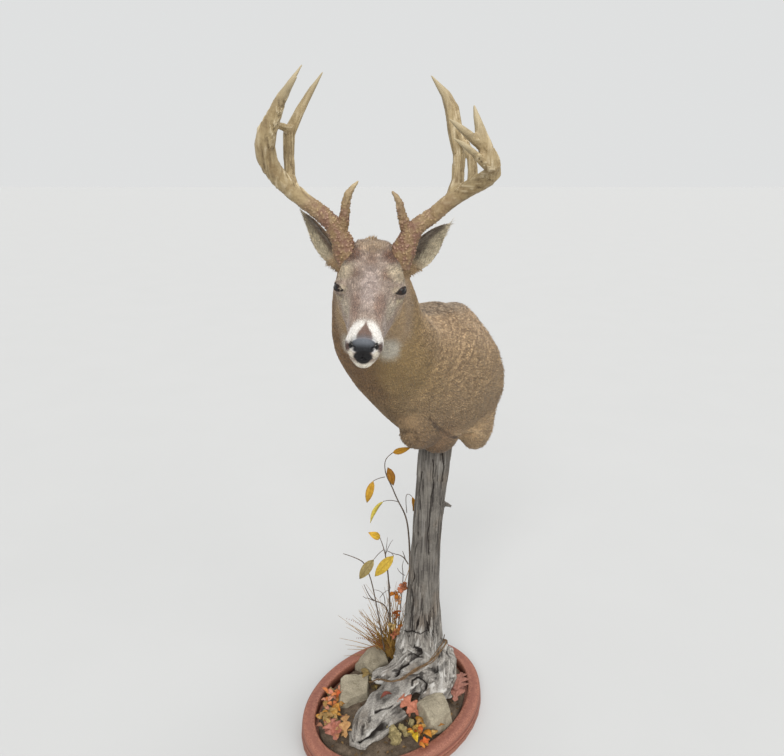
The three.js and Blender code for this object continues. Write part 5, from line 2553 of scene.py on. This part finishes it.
@dataclass
class Plants:
    """The sapling, twigs, grass, fern, blossoms, vine, fallen leaves and moss."""

    stems: tuple[Run, ...] = (
        ((28, 192, 40, 4.2), (35, 178, 193, 3.8), (50, 154, 380, 3.2), (46, 141, 500, 2.8),
         (37, 135, 579, 2.4), (10, 129, 635, 2), (-8, 125, 686, 1.8), (-24, 123, 719, 1.6),
         (-28, 123, 754, 1.4), (-21, 125, 775, 1.3), (-4, 129, 786, 1.2)),
        ((-10, 190, 40, 3.4), (-12, 183, 190, 3), (-16, 179, 331, 2.4), (-27, 169, 444, 1.8),
         (-42, 165, 487, 1.2)),
        ((-26, 172, 40, 2.6), (-61, 171, 300, 2), (-85, 165, 389, 1.8), (-104, 163, 417, 1.5),
         (-155, 158, 438, 1)),
        ((0, 196, 40, 2.8), (-10, 183, 188, 2.4), (-30, 178, 246, 2), (-66, 174, 258, 1.7),
         (-84, 173, 290, 1.3), (-94, 173, 319, 0.8)),
        ((-26, 124, 712, 1.1), (-42, 121, 712, 1), (-60, 119, 702, 0.9)),
        ((-22, 124, 716, 1), (-20, 124, 732, 0.9), (-18, 125, 742, 0.8)),
        ((13, 130, 628, 1.1), (-8, 123, 642, 1), (-32, 119, 636, 0.9)),
        ((-22, 170, 440, 1.1), (-8, 168, 439, 1), (-1, 165, 426, 0.9)),
        ((-31, 168, 446, 1.1), (-48, 164, 436, 1), (-62, 160, 416, 0.9)),
        ((38, 135, 590, 1.1), (32, 133, 646, 1), (43, 133, 656, 0.9), (53, 133, 644, 0.8)),
        ((44, 166, 396, 2), (34, 167, 416, 1.8), (19, 168, 427, 1.4), (3, 170, 429, 1),
         (-16, 172, 436, 0.7)),
        ((36, 167, 409, 1.6), (32, 167, 427, 1.3), (26, 168, 441, 0.7)),
        ((6, 190, 60, 2), (30, 172, 330, 1.4), (27, 170, 376, 1.1), (25, 170, 389, 0.9),
         (30, 171, 407, 0.6)),
        ((34, 172, 352, 1.1), (23, 172, 358, 1), (13, 172, 371, 0.8), (11, 172, 379, 0.5)),
        ((-64, 174, 258, 1.3), (-83, 172, 272, 1), (-89, 172, 267, 0.9), (-97, 172, 277, 0.6)),
        ((-28, 178, 244, 1.3), (-28, 172, 276, 1.1), (-44, 172, 299, 0.9), (-63, 172, 300, 0.6)),
        ((-44, 174, 270, 1.1), (-28, 172, 299, 0.9), (-12, 172, 300, 0.5)),
        ((-12, 180, 300, 1.3), (-28, 172, 420, 1.2), (-22, 172, 455, 0.9), (-20, 172, 486, 0.5)),
        ((-25, 170, 430, 1), (-16, 172, 460, 0.8), (-3, 172, 478, 0.5)),
        ((155, 118, 128, 3), (154, 120, 154, 2.2), (158, 122, 172, 1.4)),
    )
    stalks: tuple[Run, ...] = (
        ((6, 190, 44, 1.8), (4, 172, 160, 1.4), (14, 166, 272, 1.2), (34, 156, 340, 1), (56, 146, 425, 0.8)),
        ((2, 190, 44, 1.6), (0, 176, 137, 1.3), (-8, 175, 166, 1)),
        ((10, 190, 44, 1.6), (18, 170, 120, 1.3), (24, 165, 161, 1)),
        ((0, 192, 44, 1.6), (-6, 184, 150, 1.2), (-2, 178, 250, 0.9), (6, 170, 300, 0.6)),
    )
    vine: tuple[Triple, ...] = (
        (-96, 60, 50), (-72, 40, 60), (-42, 24, 88), (-12, -18, 113), (21, -18, 122), (52, 2, 132),
        (80, 6, 146), (108, 12, 160), (134, 32, 176), (152, 62, 192), (158, 92, 176), (156, 112, 140),
    )
    blossoms: tuple[tuple[float, float, float, str], ...] = (
        (56, 143, 425, "d99a78"), (60, 140, 386, "d8a184"), (23, 156, 318, "e0906c"),
        (32, 152, 330, "c97f5a"), (4, 163, 293, "cf7f24"), (12, 161, 274, "eeb98c"),
        (6, 166, 214, "b5662f"), (-8, 171, 165, "e4c684"), (23, 160, 163, "db8a48"),
        (0, 167, 139, "e58a6c"), (20, 160, 114, "ea9a70"), (9, 163, 150, "e0a268"),
    )
    hanging: tuple[Leaf, ...] = (
        Leaf((-4, 129, 786), (47, 117, 807), 9, "d39a26", (-0.3, 0.25, 0.9), 0.05),
        Leaf((-18, 125, 742), (-2, 117, 688), 11, "a8741f", (1, 0.3, 0), rim="6d4a1c"),
        Leaf((-60, 119, 702), (-79, 113, 635), 11, "cfa031", (1, -0.2, 0)),
        Leaf((-32, 119, 636), (-70, 113, 568), 8, "dccb5a", (1, 0.5, 0), rim="c2a945"),
        Leaf((53, 133, 644), (56, 130, 597), 7, "c48a26", (0.9, 0.7, 0)),
        Leaf((-42, 165, 487), (-78, 158, 511), 11, "e2b63a", (0.3, 0.6, 0.8), rim="d59c30"),
        Leaf((-62, 160, 416), (-106, 150, 354), 15, "9d8d5c", (1, -0.3, 0), rim="b39a45"),
        Leaf((-1, 165, 426), (-59, 158, 358), 16, "dab944", (1, -0.3, 0), rim="c9a83c"),
    )
    fallen: tuple[Leaf, ...] = (
        Leaf((180, -34, 58), (212, 84, 62), 34, "b98272", (1, 0.1, 0.2), 0.06, 0.15, 5, "8a5a4c"),
        Leaf((212, 22, 60), (130, 12, 60), 21, "a9766a", (0.1, 1, 0.1), 0.08, 0.2, 4, "7a5148"),
        Leaf((74, -92, 62), (4, -42, 92), 26, "c07b62", (0.5, 0.8, 0.3), 0.1, 0.15, 4, "8d5443"),
        Leaf((-6, -46, 96), (-40, -60, 92), 8, "8a4a3f", (0.3, 1, 0), 0.2, 0.5),
        Leaf((-160, -176, 56), (-186, -104, 62), 27, "bf7f6c", (1, 0.2, 0.1), 0.1, 0.2, 4, "8a5648"),
        Leaf((-132, -146, 66), (-196, -142, 56), 20, "b5705d", (0, 1, 0.2), 0.1, 0.2, 4, "8a5648"),
        Leaf((-134, -170, 58), (-136, -96, 70), 17, "c79a66", (1, 0, 0.3), 0.14, 0.3, 3, "9a7240"),
        Leaf((-171, -24, 62), (-147, 2, 66), 9, "e06f3a", (0.4, -1, 0.4), 0.2),
        Leaf((-180, -8, 60), (-206, 7, 58), 9, "df9478", (0, 1, 0.2), 0.2),
        Leaf((-180, -14, 60), (-194, -38, 58), 8, "e2a084", (1, 0, 0.2), 0.2),
        Leaf((-178, -50, 60), (-156, -76, 60), 9, "d78a34", (1, 0.6, 0.2), 0.2),
        Leaf((-182, -82, 54), (-204, -104, 54), 11, "c4a56a", (0.6, -0.6, 0.2), 0.2),
        Leaf((-166, -92, 58), (-182, -58, 60), 10, "c99a4e", (1, 0.4, 0.2), 0.2),
        Leaf((-184, -98, 52), (-192, -124, 54), 10, "b99a66", (1, 0, 0.1), 0.15),
        Leaf((58, -149, 56), (64, -186, 58), 9, "e3c02c", (1, 0, 0.3), 0.2, rim="c99a2c"),
        Leaf((70, -196, 58), (98, -178, 60), 10, "e0702e", (-0.4, 1, 0.3), 0.2, 0.4, 2, "b8562a"),
        Leaf((86, -145, 58), (104, -171, 60), 9, "cf8a2c", (1, 0.6, 0.2), 0.2),
        Leaf((64, -127, 60), (92, -101, 62), 7, "c8995a", (0.6, -0.6, 0.2), 0.2),
        Leaf((60, -98, 60), (88, -122, 60), 6, "b8862f", (0.6, 0.6, 0.3), 0.2),
        Leaf((72, -68, 62), (86, -50, 62), 6, "e6dcae", (0.6, -0.6, 0.2), 0.2),
        Leaf((50, -132, 56), (80, -141, 58), 7, "c9a044", (0.2, 1, 0.2), 0.2),
        Leaf((-76, 62, 66), (-104, 92, 66), 9, "8f7c4c", (0.6, 0.6, 0.2), 0.2),
        Leaf((-98, 40, 78), (-68, 62, 72), 8, "9c8752", (0.3, -1, 0.2), 0.2),
    )
    clumps: tuple[tuple[float, float, float, float], ...] = (
        (2, -154, 48, 24), (28, -136, 52, 16), (-186, -62, 44, 15), (-86, 58, 58, 14), (48, -114, 56, 11),
        (-30, 178, 40, 16), (-170, -98, 46, 12), (-196, 20, 42, 12),
    )
    drifts: tuple[tuple[float, float, float, int, tuple[str, ...]], ...] = (
        (-182, -20, 14, 9, ("e08a52", "df9d80", "c98a4a")),
        (-182, -78, 18, 14, ("c7a468", "b8935a", "d69a44")),
        (-150, -132, 16, 8, ("c08468", "b97f5c", "c9a06c")),
        (82, -136, 16, 12, ("cf9136", "b9823a", "c9a35e")),
        (70, -172, 12, 6, ("dfb93a", "d0662e", "d98a36")),
        (190, 30, 20, 8, ("a9766a", "b98272", "8f6257")), (-80, 66, 16, 8, ("8f7c4c", "9c8752", "6f6240")),
        (30, -60, 14, 5, ("c07b62", "a86a56")),
    )

    fronds: tuple[tuple[tuple[Triple, Triple, Triple], float], ...] = (
        (((-17, 176, 60), (-40, 176, 118), (-119, 176, 116)), 15),
        (((-20, 180, 60), (-60, 178, 160), (-150, 176, 190)), 9),
    )
    bark: tuple[str, str, str] = ("6b5d50", "3d342d", "8d7f70")
    straw: tuple[str, str, str] = ("9d7838", "5c411f", "c5a262")
    vine_bark: tuple[str, str, str] = ("7d6448", "4a3828", "97805f")
    lichen: tuple[str, str, str] = ("ad9c6e", "625737", "d6c99c")
    scraps: tuple[str, ...] = ("7a6248", "93774f", "5d4a38", "a88a5c", "6e5a3c")
    rust: tuple[str, ...] = ("a2532f", "b8693a", "8c4526")
    seed: int = 17
    strands: int = 5
    blades: int = 130
    scraps_each: int = 42
    petals: int = 9
    leaflets: int = 22
    cushions: int = 12

    def build(self) -> list[bpy.types.Object]:
        """Builds each kind of plant.

        Returns:
            The finished pieces.
        """
        chance = np.random.default_rng(self.seed)
        nodes = [node.name for node in bpy.data.objects]
        leaf = LeafFinish("dry_leaf", roughness=0.6, specular=0.25).build()
        twigs = [name for name in nodes if name.endswith(("_stem", "_twig")) or name.startswith("leaf_stalk")]
        blades = [name for name in nodes if name.startswith("grass_")]
        hung = [name for name in nodes if name.startswith("leaf_") and name not in twigs]
        brown = self._earthy("twig_bark", self.bark, 0.012, 0.0008)
        golden = self._earthy("dry_straw", self.straw, 0.02, 0.0004)
        woody = self._earthy("vine_bark", self.vine_bark, 0.01, 0.0008)
        mossy = self._earthy("moss", self.lichen, 0.006, 0.0025)
        return [
            finish_piece(rods("twigs", self.stems), brown, twigs),
            finish_piece(rods("vine", self._strands()), woody),
            finish_piece(rods("dry_grass", self._tussock(chance)), golden, blades),
            finish_piece(leaf_piece("hanging_leaves", self.hanging), leaf, hung),
            finish_piece(leaf_piece("fallen_leaves", self._drifted(chance)), leaf),
            finish_piece(leaf_piece("litter", self._litter(chance), 0.8), leaf),
            finish_piece(leaf_piece("blossoms", self._petals(chance)), leaf),
            finish_piece(leaf_piece("fern_frond", self._frond(chance)), leaf, ("fern",)),
            finish_piece(self._moss(chance), mossy),
        ]

    @staticmethod
    def _earthy(name: str, colours: tuple[str, str, str], size: float, relief: float) -> bpy.types.Material:
        """A crumbly material of main, dark and speck colours."""
        main, dark, speck = colours
        return EarthFinish(name, main=main, dark=dark, speck=speck, size=size, relief=relief).build()

    def _strands(self) -> list[Sequence]:
        """Thin strands that wind loosely round the vine's path.

        Returns:
            The runs for rods.
        """
        knots = np.array(self.vine, float)
        steps = np.linspace(0, len(knots) - 1, 40)
        path = np.column_stack([np.interp(steps, np.arange(len(knots)), knots[:, k]) for k in range(3)])
        outward = np.array([0, -2.5, 3.5])
        runs = []
        for turn in range(self.strands):
            phase = 1.26 * turn + (0.33 + 0.05 * turn) * np.arange(len(path))
            sway = 1 + 0.5 * np.sin(0.9 * phase + turn)
            bend = 6.5 * sway[:, None] * np.column_stack([np.cos(phase), -np.sin(phase), np.sin(phase)])
            runs.append([(*row, 1.2 + 0.25 * (turn % 2)) for row in path + bend + outward])
        return runs

    def _tussock(self, chance: np.random.Generator) -> list[Sequence]:
        """Blades that fan out of the soil behind the trunk, and the blossoms' stalks.

        Args:
            chance: Source of the blades' differences.

        Returns:
            The runs for rods.
        """
        runs = list(self.stalks)
        for _ in range(self.blades):
            root = np.array([-2, 188, 42]) + chance.normal(size=3) * (13, 7, 0)
            angle = math.radians(np.clip(chance.normal(-14, 24), -72, 12))
            reach = chance.uniform(70, 245) * (1.1 - 0.45 * abs(angle))
            head = np.array([math.sin(angle), chance.normal(0, 0.12), math.cos(angle)])
            droop = np.array([math.sin(angle) * 0.3, 0, -0.2 * abs(angle)]) * reach
            curl = chance.normal(size=3) * (0.055, 0.03, 0.03) * reach
            run = []
            for t in np.linspace(0, 1, 6):
                at = root + head * reach * t + droop * t**2 + curl * math.sin(4.5 * t)
                run.append((*at, 1.5 * (1 - t) + 0.35))
            runs.append(run)
        return runs

    @staticmethod
    def _heading(chance: np.random.Generator, rise: float) -> np.ndarray:
        """A random direction over the ground that rises or falls a little."""
        turn = chance.uniform(0, 2 * math.pi)
        return np.array([math.cos(turn), math.sin(turn), chance.normal(0, rise)])

    def _litter(self, chance: np.random.Generator) -> list[Leaf]:
        """Small brown scraps scattered over the ground.

        Args:
            chance: Source of the places.

        Returns:
            The scraps.
        """
        scraps = []
        for colour in self.scraps * self.scraps_each:
            angle, share = chance.uniform(0, 2 * math.pi), math.sqrt(chance.uniform(0, 0.94))
            at = Base().oval(angle, 50) * (share / MM)
            foot = np.array([at.x, at.y, 31.5 + 22 * (1 - share**2)])
            reach = self._heading(chance, 0.2) * chance.uniform(6, 15)
            half = chance.uniform(1, 3)
            aside = (reach[1], -reach[0], 1)
            scraps.append(Leaf(tuple(foot), tuple(foot + reach), half, colour, aside))
        return scraps

    def _drifted(self, chance: np.random.Generator) -> list[Leaf]:
        """Small curled leaves lying in drifts among the larger ones.

        Args:
            chance: Source of the places.

        Returns:
            All fallen leaves.
        """
        leaves = list(self.fallen)
        for x, y, spread, count, colours in self.drifts:
            for _ in range(count * 3 // 2):
                foot = np.array([x, y, 55]) + chance.normal(size=3) * (1.2 * spread, 1.2 * spread, 5)
                reach = self._heading(chance, 0.35) * chance.uniform(14, 26)
                aside = (-reach[1], reach[0], chance.normal(0, 6))
                half = chance.uniform(4, 8)
                colour = str(chance.choice(colours))
                leaves.append(Leaf(tuple(foot), tuple(foot + reach), half, colour, aside, 0.25, 0.5))
        return leaves

    def _petals(self, chance: np.random.Generator) -> list[Leaf]:
        """Open blossoms of papery petals.

        Args:
            chance: Source of the petals' directions.

        Returns:
            The petals.
        """
        petals = []
        for x, y, z, colour in self.blossoms:
            for _ in range(self.petals):
                out = unit(chance.normal(size=3) + np.array([0, -0.7, 0.2]))
                foot = np.array([x, y, z]) + 2 * out
                tip = foot + out * chance.uniform(11, 19)
                aside = tuple(np.cross(out, chance.normal(size=3)))
                petals.append(Leaf(tuple(foot), tuple(tip), chance.uniform(4.5, 7), colour, aside, 0.2, 0.5))
        return petals

    def _frond(self, chance: np.random.Generator) -> list[Leaf]:
        """Two rusty fern fronds of paired leaflets.

        Args:
            chance: Source of the leaflets' differences.

        Returns:
            The leaflets.
        """
        leaflets = []
        for path, size in self.fronds:
            start, bend, end = (np.array(point, float) for point in path)
            for step in np.linspace(0.1, 1, self.leaflets):
                at = start * (1 - step) ** 2 + bend * 2 * step * (1 - step) + end * step**2
                lead = unit(bend - start) * (1 - step) + unit(end - bend) * step
                for side in (-1, 1):
                    out = unit(np.cross(lead, (0, 1, 0)) * side + 0.5 * lead + (0, -0.25, 0))
                    tip = at + out * size * (1.15 - step) * chance.uniform(0.85, 1.15)
                    colour = str(chance.choice(self.rust))
                    leaflets.append(Leaf(tuple(at), tuple(tip), 1.7, colour, (0.2, 1, 0.3)))
        return leaflets

    def _moss(self, chance: np.random.Generator) -> bpy.types.Object:
        """Curled cushions of moss and lichen.

        Args:
            chance: Source of the places.

        Returns:
            The cushions as one object.
        """
        shape = bmesh.new()
        for x, y, z, size in self.clumps:
            for _ in range(self.cushions):
                at = np.array([x, y, z]) + chance.normal(size=3) * size * (0.45, 0.45, 0.2)
                place = Matrix.Translation(Vector(at) * MM)
                radius = size * chance.uniform(0.3, 0.5) * MM
                bmesh.ops.create_icosphere(shape, subdivisions=2, radius=radius, matrix=place)
        piece = from_bmesh("moss", shape)
        remesh(piece, 1.5 * MM)
        rows = vertices_of(piece.data)
        lift = 2.4 * ramp(0.7, 0.2, cells(rows, 0.0065, 91)) + 1.2 * noise(rows, 0.004, 92)
        raise_surface(piece.data, lift)
        return piece


# ---------------------------------------------------------------- studio


@dataclass
class Studio:
    """Plain pale floor, soft light and the camera."""

    eye: Triple = (-0.006, -1.717, 1.6)
    pitch: float = 17.7
    lens: float = 32.14
    sensor: float = 36
    far: float = 50
    floor: float = 36
    tones: tuple[Colour, Colour] = ((0.425, 0.425, 0.42, 1), (0.44, 0.44, 0.435, 1))
    lamps: tuple[tuple[str, Triple, float, float], ...] = (
        ("key", (-0.3, -2.2, 2.7), 30, 2.35),
        ("fill", (1.9, -1.5, 2.2), 40, 1.0),
        ("top", (0.3, 0.7, 3.6), 50, 1.3),
    )
    aim: Triple = (0, 0, 1.1)
    sky: Colour = (0.88, 0.89, 0.89, 1)
    sky_strength: float = 0.84

    def build(self) -> None:
        """Builds floor, lights and camera."""
        scene = bpy.context.scene
        lens = bpy.data.cameras.new("camera")
        lens.lens = self.lens
        lens.sensor_width = self.sensor
        lens.clip_end = self.far
        camera = bpy.data.objects.new("camera", lens)
        camera.location = self.eye
        camera.rotation_euler = (math.radians(90 - self.pitch), 0, 0)
        scene.collection.objects.link(camera)
        scene.camera = camera
        self._floor()
        for name, at, spread, strength in self.lamps:
            self._light(name, at, spread, strength)
        world = bpy.data.worlds.new("studio")
        world.use_nodes = True
        background = world.node_tree.nodes["Background"].inputs
        background["Color"].default_value = self.sky
        background["Strength"].default_value = self.sky_strength
        scene.world = world
        scene.view_settings.view_transform = "Standard"

    def _floor(self) -> None:
        """Adds the pale floor."""
        shape = bmesh.new()
        bmesh.ops.create_grid(shape, x_segments=1, y_segments=1, size=self.floor)
        floor = from_bmesh("floor", shape, smooth=False)
        material, nodes, shader = Finish("pale_floor", roughness=0.7).start()
        tone = nodes.mix(nodes.noise(0.4), *self.tones)
        nodes.feed(shader.inputs["Base Color"], tone)
        floor.data.materials.append(material)

    def _light(self, name: str, at: Triple, spread: float, strength: float) -> None:
        """Adds a soft light that shines from a place towards the mount's chest.

        Args:
            name: The light's name.
            at: Its place in metres.
            spread: Its angular size in degrees.
            strength: Its strength.
        """
        lamp = bpy.data.lights.new(name, "SUN")
        lamp.angle = math.radians(spread)
        lamp.energy = strength
        light = bpy.data.objects.new(name, lamp)
        light.location = at
        aim = Vector(self.aim) - Vector(at)
        light.rotation_euler = aim.to_track_quat("-Z", "Y").to_euler()
        bpy.context.scene.collection.objects.link(light)


# ---------------------------------------------------------------- the mount


def main() -> None:
    """Builds the mount piece by piece."""
    logging.basicConfig(level=logging.INFO, format="%(relativeCreated)6d ms %(message)s")
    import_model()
    Studio().build()
    skin = Skin().build()
    Coat(skin).build()
    Eyes().build()
    Antlers().build()
    Driftwood().build()
    Base().build()
    Plants().build()
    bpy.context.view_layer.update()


if __name__ == "__main__":
    main()
